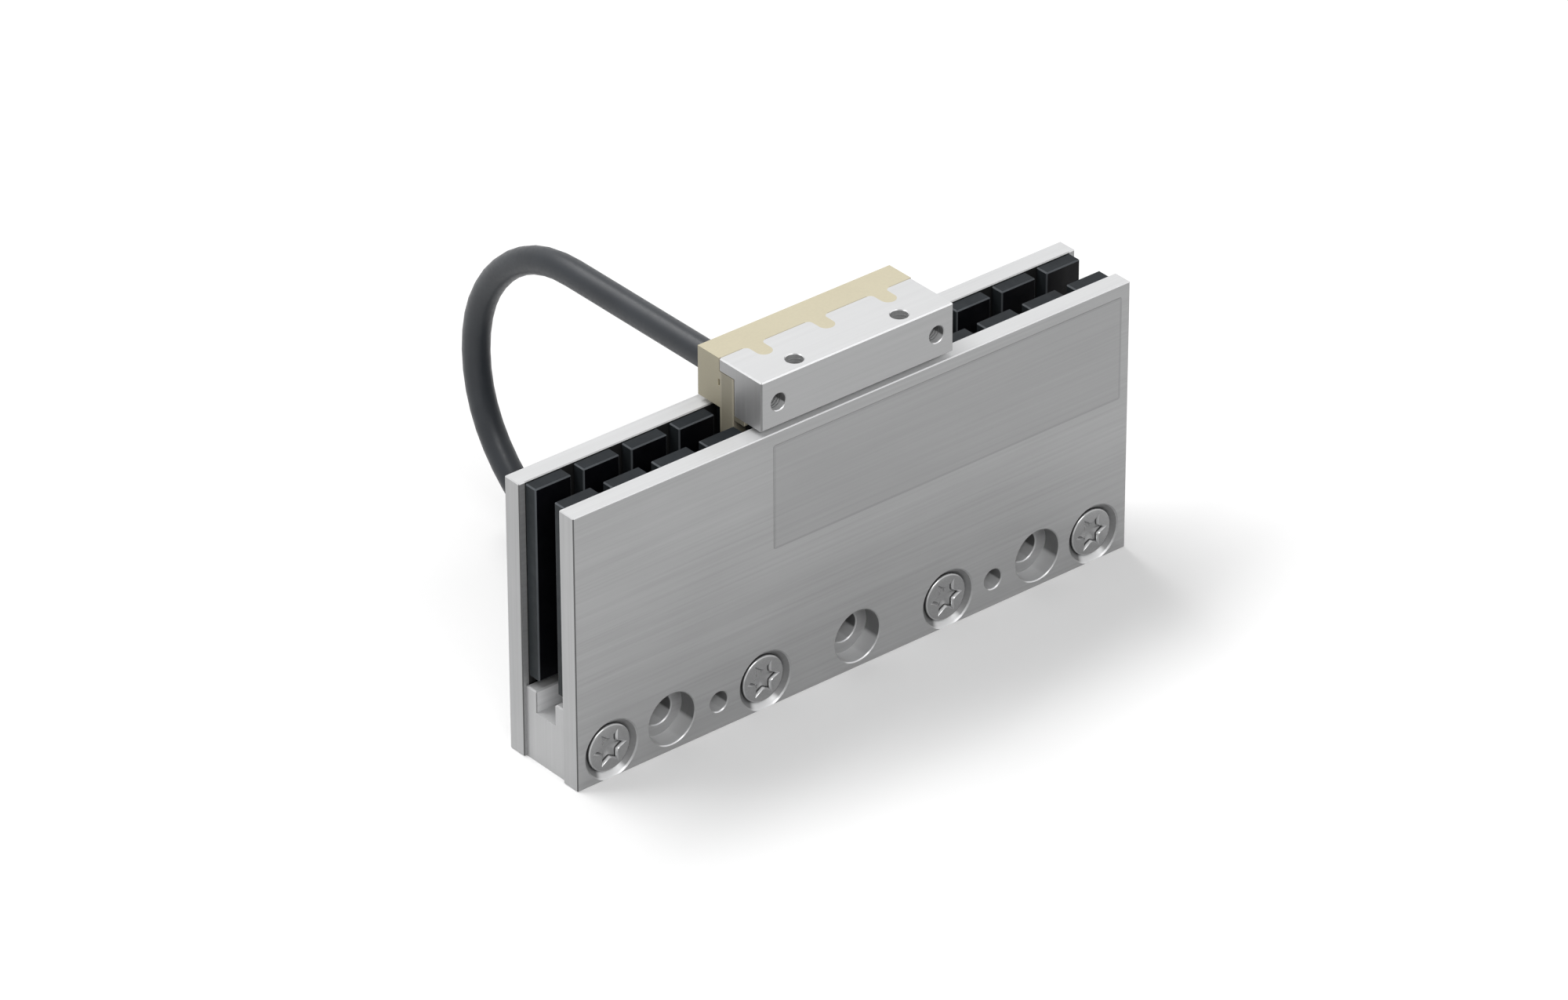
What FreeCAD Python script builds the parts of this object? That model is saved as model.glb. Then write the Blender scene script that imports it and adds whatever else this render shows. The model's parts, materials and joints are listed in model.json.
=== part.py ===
# Ironless linear motor: a U-shaped magnet yoke and the coil unit that slides along it.
# Frame: X along the yoke, -Y towards the plate with the screw heads, Z up.
# The origin is the middle of the yoke's underside. All sizes are in millimetres.
import FreeCAD, Part
import math
import os

from FreeCAD import Vector

# Magnet track
YOKE_LENGTH = 96.0
POLE_PITCH = 8.0
MAGNET_WIDTH = 6.0
MAGNET_THICKNESS = 2.2
MAGNET_TOP_SETBACK = 0.2
MAGNET_BASE_GAP = 1.3
MAGNET_EDGE_BREAK = 0.18

# Side plates
PLATE_HEIGHT = 42.0
PLATE_THICKNESS = 3.0
PLATE_EDGE_BREAK = 0.14

# Base bar with the slot for the blade's lower edge
BASE_HEIGHT = 11.0
BASE_END_INSET = 0.5
BASE_EDGE_BREAK = 0.2
SLOT_DEPTH = 3.3
SLOT_SIDE_CLEARANCE = 0.625

# Mounting bolts and dowels of the yoke
BOLT_PITCH = 32.0
BOLT_ROW_COUNT = 3
BOLT_HEIGHT = 4.9
BOLT_HOLE_DIAMETER = 4.5
BOLT_HEAD_POCKET_DIAMETER = 7.8
DOWEL_SPACING = 48.0
DOWEL_HEIGHT = 4.3
DOWEL_DIAMETER = 3.0
HOLE_EDGE_BREAK = 0.14

# Countersunk screws that hold the plates to the base bar
SCREW_HEIGHT = 4.4
SCREW_INNER_SPACING = 32.0
SCREW_END_INSET = 5.8
SCREW_DIAMETER = 4.0
SCREW_LENGTH = 6.0
SCREW_HEAD_DIAMETER = 7.2
SCREW_RIM_CHAMFER = 0.25
SCREW_TIP_CHAMFER = 0.4
SCREW_PLAY = 0.05
COUNTERSINK_DIAMETER = 9.0
SOCKET_DEPTH = 1.1
SOCKET_TIP_RADIUS = 2.45
SOCKET_LOBE_RADIUS = 2.15
SOCKET_WAIST_RADIUS = 1.6
SOCKET_LOBE_HALF_ANGLE = 9.0
SOCKET_LOBES = 6

# Blade of the coil unit
PHASES = ("u", "v", "w")
BLADE_SKIN = 0.35
BLADE_CORE = 2.15
AIR_GAP = 0.525
BLADE_FLOOR_CLEARANCE = 1.0
COIL_END_MARGIN = 0.5
COIL_SPACING = 0.3
COIL_LOWER_MARGIN = 1.2
COIL_UPPER_MARGIN = 1.2
COIL_WEB = 0.25
COIL_LEG_WIDTH = 3.3
COIL_CORNER_RADIUS = 4.2
COIL_PLAY = 0.05

# Mounting block of the coil unit
RUNNING_GAP = 0.9
BLOCK_HEIGHT = 7.4
FLANGE_THICKNESS = 1.85
BLOCK_EDGE_BREAK = 0.18
BOND_THICKNESS = 0.15
BOND_END_SETBACK = 0.3
TAP_DIAMETER = 2.5
TAP_EDGE_BREAK = 0.12
TOP_TAP_SPACING = 18.0
TOP_TAP_INSET = 2.3
TOP_TAP_DEPTH = 5.0
FRONT_TAP_SPACING = 27.2
FRONT_TAP_DROP = 3.8
FRONT_TAP_DEPTH = 4.0
SEAL_BEAD_HEIGHT = 0.7
SEAL_BEAD_DEPTH = 2.1

# Resin cap behind the block
CAP_DEPTH = 4.7
CAP_EDGE_BREAK = 0.15
KEY_WIDTH = 2.4
KEY_LENGTH = 3.2
KEY_DEPTH = 1.2
KEY_ROOT_RADIUS = 0.7
VENT_HEIGHT = 1.0
VENT_WIDTH = 0.4
VENT_DEPTH = 0.5
VENT_DROP = 3.2

# What is potted in the cap
BOARD_LENGTH = 22.0
BOARD_HEIGHT = 5.0
BOARD_THICKNESS = 0.8
BOARD_SETBACK = 1.9
SENSOR_DIAMETER = 1.5
SENSOR_LENGTH = 4.0
SENSOR_OFFSET = 6.0

# Flying lead
CABLE_DIAMETER = 4.0
CABLE_END_INSET = 3.3
CABLE_ARC_SHARE = 0.45
HANK_X = 2.8
HANK_Y = 27.0
HANK_STRAIGHT = 40.0
HANK_FOLD_RADIUS = 12.0
HANK_LOW_LAYERS = 2
LEAD_END_OFFSET = 6.0
TIE_THICKNESS = 0.8
TIE_WIDTH = 4.5
SLEEVE_WALL = 0.3
SLEEVE_PLAY = 0.03
SLEEVE_LENGTH = 9.0
SLEEVE_OVERHANG = 2.0
CORE_DIAMETER = 1.1
CORE_LENGTH = 9.0
CORE_PITCH = 1.5
CORE_SPREAD = 6.0
FERRULE_DIAMETER = 0.9
FERRULE_LENGTH = 5.0

# Sizes that follow from those above
blade_thickness = BLADE_CORE + 2 * BLADE_SKIN
yoke_gap = blade_thickness + 2 * AIR_GAP + 2 * MAGNET_THICKNESS
inner_face = yoke_gap / 2
outer_face = inner_face + PLATE_THICKNESS
yoke_end = YOKE_LENGTH / 2
pole_count = int(YOKE_LENGTH / POLE_PITCH)
magnet_top = PLATE_HEIGHT - MAGNET_TOP_SETBACK
magnet_bottom = BASE_HEIGHT + MAGNET_BASE_GAP
slot_floor = BASE_HEIGHT - SLOT_DEPTH

coil_pitch = POLE_PITCH * 4 / 3
unit_end = len(PHASES) * coil_pitch / 2 + COIL_END_MARGIN
blade_face = blade_thickness / 2
core_face = BLADE_CORE / 2
block_bottom = PLATE_HEIGHT + RUNNING_GAP
block_top = block_bottom + BLOCK_HEIGHT
blade_top = block_top - FLANGE_THICKNESS - BOND_THICKNESS
blade_bottom = slot_floor + BLADE_FLOOR_CLEARANCE
cap_rear = blade_face + CAP_DEPTH

bolt_places = [(i - (BOLT_ROW_COUNT - 1) / 2) * BOLT_PITCH for i in range(BOLT_ROW_COUNT)]
dowel_places = [-DOWEL_SPACING / 2, DOWEL_SPACING / 2]
screw_places = [
    SCREW_END_INSET - yoke_end,
    -SCREW_INNER_SPACING / 2,
    SCREW_INNER_SPACING / 2,
    yoke_end - SCREW_END_INSET,
]
coil_places = [(i - (len(PHASES) - 1) / 2) * coil_pitch for i in range(len(PHASES))]

cable_radius = CABLE_DIAMETER / 2
cable_x = CABLE_END_INSET - unit_end
cable_z = (block_bottom + block_top) / 2
hank_bottom = TIE_THICKNESS
hank_inner = HANK_FOLD_RADIUS - cable_radius
hank_middle = hank_inner + CABLE_DIAMETER
hank_outer = hank_middle + CABLE_DIAMETER
hank_step = hank_bottom + HANK_LOW_LAYERS * CABLE_DIAMETER
hank_top = hank_step + CABLE_DIAMETER

# The lead's points: out of the cap, over and down to the floor, and back to the hank
LEAD_ROUTE = [
    Vector(cable_x, cap_rear, cable_z),
    Vector(-13.2, 45.5, 46.6),
    Vector(-13.2, 58.3, 33.8),
    Vector(-13.2, 58.3, 15.6),
    Vector(-13.2, 45.5, 2.6),
    Vector(-13.2, 27.0, 2.8),
]
# The tail's points: from the hank's inner turn into its opening
TAIL_ROUTE = [
    Vector(42.0, 38.6, 2.8),
    Vector(27.0, 34.4, 2.7),
    Vector(13.0, 28.0, 2.6),
]


# Helpers

def bar(x, y, z):
    """A box from its low and high limits along each axis."""
    size = [high - low for low, high in (x, y, z)]
    return Part.makeBox(*size, Vector(x[0], y[0], z[0]))


def rod(radius, start, end):
    """A cylinder from one point to another."""
    return Part.makeCylinder(radius, start.distanceToPoint(end), start, end - start)


def cone(radius_start, radius_end, start, end):
    """A cone frustum from one point to another."""
    return Part.makeCone(radius_start, radius_end, start.distanceToPoint(end), start, end - start)


def broken(shape, size, wanted=None):
    """The shape with its edges, or those that are wanted, chamfered."""
    edges = [edge for edge in shape.Edges if wanted is None or wanted(edge)]
    return shape.makeChamfer(size, edges)


def polar(radius, degrees):
    angle = math.radians(degrees)
    return Vector(radius * math.cos(angle), radius * math.sin(angle), 0)


def rounded_face(width, depth, radius):
    """A rectangle with round corners, centred on the origin in the XY plane."""
    across = width / 2 - radius
    along = depth / 2 - radius
    centres = [(across, along), (-across, along), (-across, -along), (across, -along)]
    edges = []
    for corner, (x, y) in enumerate(centres):
        centre = Vector(x, y, 0)
        start, middle, end = [centre + polar(radius, 90 * corner + turn) for turn in (0, 45, 90)]
        edges.append(Part.Arc(start, middle, end).toShape())
        x_next, y_next = centres[(corner + 1) % len(centres)]
        line_end = Vector(x_next, y_next, 0) + polar(radius, 90 * corner + 90)
        if end.distanceToPoint(line_end) > 1e-6:
            edges.append(Part.LineSegment(end, line_end).toShape())
    return Part.Face(Part.Wire(edges))


def standing_slab(width, height, radius, y_front, y_rear, x_centre, z_centre):
    """A slab with round corners that stands in the XZ plane."""
    slab = rounded_face(width, height, radius).extrude(Vector(0, 0, y_rear - y_front))
    slab.rotate(Vector(), Vector(1, 0, 0), 90)
    slab.translate(Vector(x_centre, y_rear, z_centre))
    return slab


def prism(outline, x_start, x_end):
    """A bar along X from its outline, a list of (y, z) points."""
    points = [Vector(x_start, y, z) for y, z in outline]
    face = Part.Face(Part.makePolygon(points + points[:1]))
    return face.extrude(Vector(x_end - x_start, 0, 0))


def save(node, *solids):
    shape = solids[0] if len(solids) == 1 else Part.makeCompound(solids)
    shape.exportStep(os.path.join("parts", node + ".step"))


# Magnet yoke

def front_plate():
    """The plate with the screw heads in sight; bolt heads pass through it to the base bar."""
    y = (-outer_face, -inner_face)
    return drilled_plate(y, BOLT_HEAD_POCKET_DIAMETER)


def rear_plate():
    y = (outer_face, inner_face)
    return drilled_plate(y, BOLT_HOLE_DIAMETER)


def drilled_plate(y, bolt_hole):
    """A side plate between its outer and inner face, with bolt, dowel and countersunk holes."""
    plate = bar((-yoke_end, yoke_end), (min(y), max(y)), (0, PLATE_HEIGHT))
    plate = broken(plate, PLATE_EDGE_BREAK)
    cuts = []
    for x in bolt_places:
        cuts += edged_hole(x, BOLT_HEIGHT, bolt_hole, y)
    for x in dowel_places:
        cuts += edged_hole(x, DOWEL_HEIGHT, DOWEL_DIAMETER, y)
    for x in screw_places:
        cuts += countersunk_hole(x, y)
    return plate.cut(cuts)


def edged_hole(x, z, diameter, y):
    """A through hole whose mouth at the first face is chamfered."""
    outer, inner = (Vector(x, place, z) for place in y)
    inwards = (inner - outer).normalize()
    mouth = cone(diameter / 2 + HOLE_EDGE_BREAK, diameter / 2, outer, outer + inwards * HOLE_EDGE_BREAK)
    return [rod(diameter / 2, outer, inner), mouth]


def countersunk_hole(x, y):
    outer, inner = (Vector(x, place, SCREW_HEIGHT) for place in y)
    inwards = (inner - outer).normalize()
    wide = COUNTERSINK_DIAMETER / 2
    narrow = SCREW_DIAMETER / 2 + SCREW_PLAY
    return [cone(wide, narrow, outer, outer + inwards * (wide - narrow)), rod(narrow, outer, inner)]


def base_bar():
    """The bar between the plates: a U section, drilled across for bolts, dowels and screws."""
    slot_half = blade_face + SLOT_SIDE_CLEARANCE
    end = yoke_end - BASE_END_INSET
    outline = [
        (-inner_face, 0),
        (inner_face, 0),
        (inner_face, BASE_HEIGHT),
        (slot_half, BASE_HEIGHT),
        (slot_half, slot_floor),
        (-slot_half, slot_floor),
        (-slot_half, BASE_HEIGHT),
        (-inner_face, BASE_HEIGHT),
    ]
    base = prism(outline, -end, end)

    def is_upper(edge):
        return edge.BoundBox.ZMin > slot_floor + SLOT_DEPTH / 2

    base = broken(base, BASE_EDGE_BREAK, is_upper)
    y = (-inner_face, inner_face)
    holes = [(x, DOWEL_HEIGHT, DOWEL_DIAMETER) for x in dowel_places]
    holes += [(x, SCREW_HEIGHT, SCREW_DIAMETER + 2 * SCREW_PLAY) for x in screw_places]
    cuts = [rod(d / 2, Vector(x, y[0], z), Vector(x, y[1], z)) for x, z, d in holes]
    for x in bolt_places:
        cuts += edged_hole(x, BOLT_HEIGHT, BOLT_HOLE_DIAMETER, y)
    return base.cut(cuts)


def magnet(index, side):
    """A block magnet on a plate; side is -1 for the front plate and 1 for the rear one."""
    x = (index - (pole_count - 1) / 2) * POLE_PITCH
    y = sorted([side * inner_face, side * (inner_face - MAGNET_THICKNESS)])
    block = bar((x - MAGNET_WIDTH / 2, x + MAGNET_WIDTH / 2), y, (magnet_bottom, magnet_top))
    return broken(block, MAGNET_EDGE_BREAK)


def plate_screw(x, side):
    """A countersunk screw with a six-lobe socket, seated in its plate and reaching into the base bar."""
    head = SCREW_HEAD_DIAMETER / 2
    shank = SCREW_DIAMETER / 2
    rim = SCREW_RIM_CHAMFER
    tip = SCREW_TIP_CHAMFER
    outline = [
        Vector(0, 0, 0),
        Vector(head - rim, 0, 0),
        Vector(head, rim, 0),
        Vector(shank, rim + head - shank, 0),
        Vector(shank, SCREW_LENGTH - tip, 0),
        Vector(shank - tip, SCREW_LENGTH, 0),
        Vector(0, SCREW_LENGTH, 0),
    ]
    face = Part.Face(Part.makePolygon(outline + outline[:1]))
    screw = face.revolve(Vector(), Vector(0, 1, 0), 360).cut(lobed_socket())
    if side > 0:
        screw.rotate(Vector(), Vector(0, 0, 1), 180)
    recess = COUNTERSINK_DIAMETER / 2 - head - rim - SCREW_PLAY
    screw.translate(Vector(x, side * (outer_face - recess), SCREW_HEIGHT))
    return screw


def lobed_socket():
    """The six-lobe recess of a screw head, cut from its top at the origin along +Y."""
    edges = []
    step = 360 / SOCKET_LOBES
    half = SOCKET_LOBE_HALF_ANGLE
    for lobe in range(SOCKET_LOBES):
        angle = lobe * step
        start = polar(SOCKET_LOBE_RADIUS, angle - half)
        end = polar(SOCKET_LOBE_RADIUS, angle + half)
        next_start = polar(SOCKET_LOBE_RADIUS, angle + step - half)
        edges.append(Part.Arc(start, polar(SOCKET_TIP_RADIUS, angle), end).toShape())
        edges.append(Part.Arc(end, polar(SOCKET_WAIST_RADIUS, angle + step / 2), next_start).toShape())
    socket = Part.Face(Part.Wire(edges)).extrude(Vector(0, 0, -SOCKET_DEPTH))
    socket.rotate(Vector(), Vector(1, 0, 0), 90)
    return socket


# Coil unit

def mounting_block():
    """The L-shaped aluminium block: a leg in front of the blade and a flange over its top."""
    leg_rear = -blade_face - BOND_THICKNESS
    flange_bottom = block_top - FLANGE_THICKNESS
    outline = [
        (-outer_face, block_bottom),
        (leg_rear, block_bottom),
        (leg_rear, flange_bottom),
        (blade_face, flange_bottom),
        (blade_face, block_top),
        (-outer_face, block_top),
    ]
    block = prism(outline, -unit_end, unit_end)

    def is_outer(edge):
        box = edge.BoundBox
        on_front = box.YMax < -outer_face + BLOCK_EDGE_BREAK
        on_top_end = box.ZMin > block_top - BLOCK_EDGE_BREAK and box.XLength < BLOCK_EDGE_BREAK
        return on_front or on_top_end

    block = broken(block, BLOCK_EDGE_BREAK, is_outer)
    cuts = [resin_key(x) for x in coil_places]
    for side in (-1, 1):
        top = Vector(side * TOP_TAP_SPACING / 2, -outer_face + TOP_TAP_INSET, block_top)
        front = Vector(side * FRONT_TAP_SPACING / 2, -outer_face, block_top - FRONT_TAP_DROP)
        cuts += tapped_hole(top, Vector(0, 0, -1), TOP_TAP_DEPTH)
        cuts += tapped_hole(front, Vector(0, 1, 0), FRONT_TAP_DEPTH)
    return block.cut(cuts)


def tapped_hole(mouth, inwards, depth):
    """A blind hole for a thread, with a small countersink at its mouth."""
    radius = TAP_DIAMETER / 2
    lead_in = cone(radius + TAP_EDGE_BREAK, radius, mouth, mouth + inwards * TAP_EDGE_BREAK)
    return [rod(radius, mouth, mouth + inwards * depth), lead_in]


def resin_key(x):
    """A key of the cap, cast into the flange's top: round at its tip and flared at its root."""
    half = KEY_WIDTH / 2
    flare = KEY_ROOT_RADIUS
    rear = blade_face + BOND_THICKNESS
    root = blade_face - flare
    tip = blade_face - KEY_LENGTH + half
    right = Vector(half + flare, root, 0)
    left = Vector(-half - flare, root, 0)
    curves = [
        Part.LineSegment(Vector(right.x, rear, 0), Vector(right.x, blade_face, 0)),
        Part.Arc(*[right + polar(flare, angle) for angle in (90, 135, 180)]),
        Part.LineSegment(Vector(half, root, 0), Vector(half, tip, 0)),
        Part.Arc(Vector(half, tip, 0), Vector(0, tip - half, 0), Vector(-half, tip, 0)),
        Part.LineSegment(Vector(-half, tip, 0), Vector(-half, root, 0)),
        Part.Arc(*[left + polar(flare, angle) for angle in (0, 45, 90)]),
        Part.LineSegment(Vector(left.x, blade_face, 0), Vector(left.x, rear, 0)),
        Part.LineSegment(Vector(left.x, rear, 0), Vector(right.x, rear, 0)),
    ]
    face = Part.Face(Part.Wire([curve.toShape() for curve in curves]))
    face.translate(Vector(x, 0, block_top - KEY_DEPTH))
    return face.extrude(Vector(0, 0, KEY_DEPTH))


def bond_line():
    """The adhesive layer between the block and the resin, set back at both ends."""
    leg_rear = -blade_face - BOND_THICKNESS
    flange_rear = blade_face + BOND_THICKNESS
    flange_bottom = block_top - FLANGE_THICKNESS
    outline = [
        (leg_rear, block_bottom),
        (-blade_face, block_bottom),
        (-blade_face, blade_top),
        (flange_rear, blade_top),
        (flange_rear, block_top),
        (blade_face, block_top),
        (blade_face, flange_bottom),
        (leg_rear, flange_bottom),
    ]
    layer = prism(outline, BOND_END_SETBACK - unit_end, unit_end - BOND_END_SETBACK)
    return layer.cut([resin_key(x) for x in coil_places])


def potting_cap():
    """The resin block behind the blade, with its keys and the hollows of what is potted in it."""
    flange_rear = blade_face + BOND_THICKNESS
    outline = [
        (blade_face, block_bottom),
        (cap_rear, block_bottom),
        (cap_rear, block_top),
        (flange_rear, block_top),
        (flange_rear, blade_top),
        (blade_face, blade_top),
    ]
    cap = prism(outline, -unit_end, unit_end)

    def is_rear(edge):
        return edge.BoundBox.YMin > cap_rear - CAP_EDGE_BREAK

    cap = broken(cap, CAP_EDGE_BREAK, is_rear)
    cap = cap.fuse([resin_key(x) for x in coil_places]).removeSplitter()
    vent_top = block_top - VENT_DROP
    vent = bar(
        (-unit_end, VENT_DEPTH - unit_end),
        (blade_face, blade_face + VENT_WIDTH),
        (vent_top - VENT_HEIGHT, vent_top),
    )
    return cap.cut([vent, connection_board(), temperature_sensor()])


def blade_core():
    """The blade's resin core, with a ring groove for each coil."""
    core = bar((-unit_end, unit_end), (-core_face, core_face), (blade_bottom, blade_top))
    return core.cut([coil_ring(x, COIL_PLAY) for x in coil_places])


def coil_ring(x, play):
    """A flat wound coil against the front skin; with play it is the groove for it."""
    low = blade_bottom + COIL_LOWER_MARGIN
    high = blade_top - COIL_UPPER_MARGIN
    width = coil_pitch - COIL_SPACING
    middle = (low + high) / 2
    y = (-core_face, core_face - COIL_WEB)
    outer_radius = COIL_CORNER_RADIUS
    inner_radius = COIL_CORNER_RADIUS - COIL_LEG_WIDTH
    outer = standing_slab(width + 2 * play, high - low + 2 * play, outer_radius + play, *y, x, middle)
    hole_width = width - 2 * COIL_LEG_WIDTH - 2 * play
    hole_height = high - low - 2 * COIL_LEG_WIDTH - 2 * play
    hole = standing_slab(hole_width, hole_height, inner_radius - play, *y, x, middle)
    return outer.cut(hole)


def blade_skin(side):
    """A glass-fibre skin; side is -1 for the front one and 1 for the rear one."""
    y = sorted([side * core_face, side * blade_face])
    return bar((-unit_end, unit_end), y, (blade_bottom, blade_top))


def seal_bead():
    y = (-blade_face - SEAL_BEAD_DEPTH, -blade_face)
    return bar((-unit_end, unit_end), y, (block_bottom - SEAL_BEAD_HEIGHT, block_bottom))


def connection_board():
    y = cap_rear - BOARD_SETBACK
    z = (block_bottom + block_top) / 2
    return bar(
        (-BOARD_LENGTH / 2, BOARD_LENGTH / 2),
        (y - BOARD_THICKNESS, y),
        (z - BOARD_HEIGHT / 2, z + BOARD_HEIGHT / 2),
    )


def temperature_sensor():
    """A round-ended bead lying against the blade."""
    radius = SENSOR_DIAMETER / 2
    z = block_bottom + SENSOR_DIAMETER
    start = Vector(SENSOR_OFFSET, blade_face + radius, z)
    end = start + Vector(SENSOR_LENGTH, 0, 0)
    return broken(rod(radius, start, end), radius / 3)


# Flying lead

def lead_wire(points):
    """Straight runs joined by tangent arcs, each arc as large as its two runs allow."""
    edges = []
    here = points[0]
    for before, corner, after in zip(points, points[1:], points[2:]):
        arriving = (corner - before).normalize()
        leaving = (after - corner).normalize()
        half_turn = arriving.getAngle(leaving) / 2
        reach = CABLE_ARC_SHARE * min(corner.distanceToPoint(before), after.distanceToPoint(corner))
        radius = reach / math.tan(half_turn)
        start = corner - arriving * reach
        end = corner + leaving * reach
        inwards = (leaving - arriving).normalize()
        middle = corner + inwards * (radius / math.cos(half_turn) - radius)
        edges.append(Part.LineSegment(here, start).toShape())
        edges.append(Part.Arc(start, middle, end).toShape())
        here = end
        print("lead arc radius %.1f mm, %.1f diameters" % (radius, radius / CABLE_DIAMETER))
    edges.append(Part.LineSegment(here, points[-1]).toShape())
    return Part.Wire(edges)


def lead_tube(points):
    wire = lead_wire(points)
    section = Part.Wire(Part.makeCircle(cable_radius, points[0], points[1] - points[0]))
    tube = wire.makePipeShell([section], True, False)
    expected = math.pi * cable_radius ** 2 * wire.Length
    print("lead run %.1f mm, volume %.1f of %.1f mm3" % (wire.Length, tube.Volume, expected))
    return tube


def hank_layer(radius, low, high):
    """A racetrack slab as wide as twice its radius, between two heights."""
    face = rounded_face(HANK_STRAIGHT + 2 * radius, 2 * radius, radius)
    face.translate(Vector(HANK_X + HANK_STRAIGHT / 2, HANK_Y, low))
    return face.extrude(Vector(0, 0, high - low))


def cable_hank():
    """The put-away turns as one solid: two low layers of two turns, and one turn more on the inner side."""
    low = hank_layer(hank_outer, hank_bottom, hank_step)
    high = hank_layer(hank_middle, hank_step, hank_top)
    return low.fuse(high).cut(hank_layer(hank_inner, hank_bottom, hank_top)).removeSplitter()


def motor_cable():
    """The lead from the cap to the hank; the thin end that would lie along the hank's side is trimmed."""
    lead_end = HANK_Y + LEAD_END_OFFSET
    trim = bar((cable_x - hank_outer, HANK_X), (HANK_Y - hank_outer, lead_end), (0, hank_top))
    return lead_tube(LEAD_ROUTE).cut([cable_hank(), trim])


def cable_tail():
    return lead_tube(TAIL_ROUTE).cut(cable_hank())


def hank_tie():
    """A band round the front run of the hank."""
    front = HANK_Y - hank_outer
    step = HANK_Y - hank_middle
    rear = HANK_Y - hank_inner
    outline = [
        (front, hank_bottom),
        (rear, hank_bottom),
        (rear, hank_top),
        (step, hank_top),
        (front, hank_step),
    ]
    x = HANK_X + HANK_STRAIGHT / 2 - TIE_WIDTH / 2
    points = [Vector(x, y, z) for y, z in outline]
    inner = Part.Face(Part.makePolygon(points + points[:1]))
    band = inner.makeOffset2D(TIE_THICKNESS).cut(inner)
    return band.extrude(Vector(TIE_WIDTH, 0, 0))


def tail_direction():
    return (TAIL_ROUTE[-1] - TAIL_ROUTE[-2]).normalize()


def cable_end_sleeve():
    """A shrink sleeve over the end of the sheath."""
    along = tail_direction()
    start = TAIL_ROUTE[-1] + along * (SLEEVE_OVERHANG - SLEEVE_LENGTH)
    end = TAIL_ROUTE[-1] + along * SLEEVE_OVERHANG
    inner = cable_radius + SLEEVE_PLAY
    return rod(inner + SLEEVE_WALL, start, end).cut(rod(inner, start, end))


def core_axes():
    """Start and direction of each bare core; the cores fan out a little from the sheath's end."""
    along = tail_direction()
    across = along.cross(Vector(0, 0, 1)).normalize()
    upwards = across.cross(along)
    axes = []
    for side in (-1, 1):
        for level in (-1, 1):
            offset = across * (side * CORE_PITCH / 2) + upwards * (level * CORE_PITCH / 2)
            direction = FreeCAD.Rotation(Vector(0, 0, 1), -side * CORE_SPREAD).multVec(along)
            axes.append((TAIL_ROUTE[-1] + offset, direction))
    return axes


def core_wires():
    return [trimmed_core(start, direction) for start, direction in core_axes()]


def trimmed_core(start, direction):
    """A core that starts flat against the sheath's end."""
    along = tail_direction()
    core = rod(CORE_DIAMETER / 2, start - direction * CORE_DIAMETER, start + direction * CORE_LENGTH)
    sheath = rod(CABLE_DIAMETER, TAIL_ROUTE[-1] - along * CABLE_DIAMETER, TAIL_ROUTE[-1])
    return core.cut(sheath)


def core_ferrules():
    ferrules = []
    for start, direction in core_axes():
        tip = start + direction * CORE_LENGTH
        ferrules.append(rod(FERRULE_DIAMETER / 2, tip, tip + direction * FERRULE_LENGTH))
    return ferrules


def build():
    os.makedirs("parts", exist_ok=True)
    save("front_plate", front_plate())
    save("rear_plate", rear_plate())
    save("base_bar", base_bar())
    for index in range(pole_count):
        save("front_magnet_%02d" % (index + 1), magnet(index, -1))
        save("rear_magnet_%02d" % (index + 1), magnet(index, 1))
    save("front_plate_screws", *[plate_screw(x, -1) for x in screw_places])
    save("rear_plate_screws", *[plate_screw(x, 1) for x in screw_places])
    save("mounting_block", mounting_block())
    save("bond_line", bond_line())
    save("potting_cap", potting_cap())
    save("blade_core", blade_core())
    save("blade_front_skin", blade_skin(-1))
    save("blade_rear_skin", blade_skin(1))
    for phase, x in zip(PHASES, coil_places):
        save("coil_" + phase, coil_ring(x, 0))
    save("seal_bead", seal_bead())
    save("connection_board", connection_board())
    save("temperature_sensor", temperature_sensor())
    save("motor_cable", motor_cable())
    save("cable_hank", cable_hank())
    save("cable_tail", cable_tail())
    save("hank_tie", hank_tie())
    save("cable_end_sleeve", cable_end_sleeve())
    save("core_wires", *core_wires())
    save("core_ferrules", *core_ferrules())


build()
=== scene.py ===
# %% [markdown]
# # An ironless linear motor
# The motor has two halves. A U-shaped yoke of two steel plates carries rows of magnets that face each other
# across a narrow gap, and a thin potted coil unit runs in that gap on the machine's own guide.
# The exact solids come from CAD and stay as they are. This lesson gives each one the finish of the real
# piece, models by hand the small things that CAD leaves plain, and lights the result like a catalogue
# picture on a white table.

import json
import math

import bmesh
import bpy
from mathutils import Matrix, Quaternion, Vector

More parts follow.
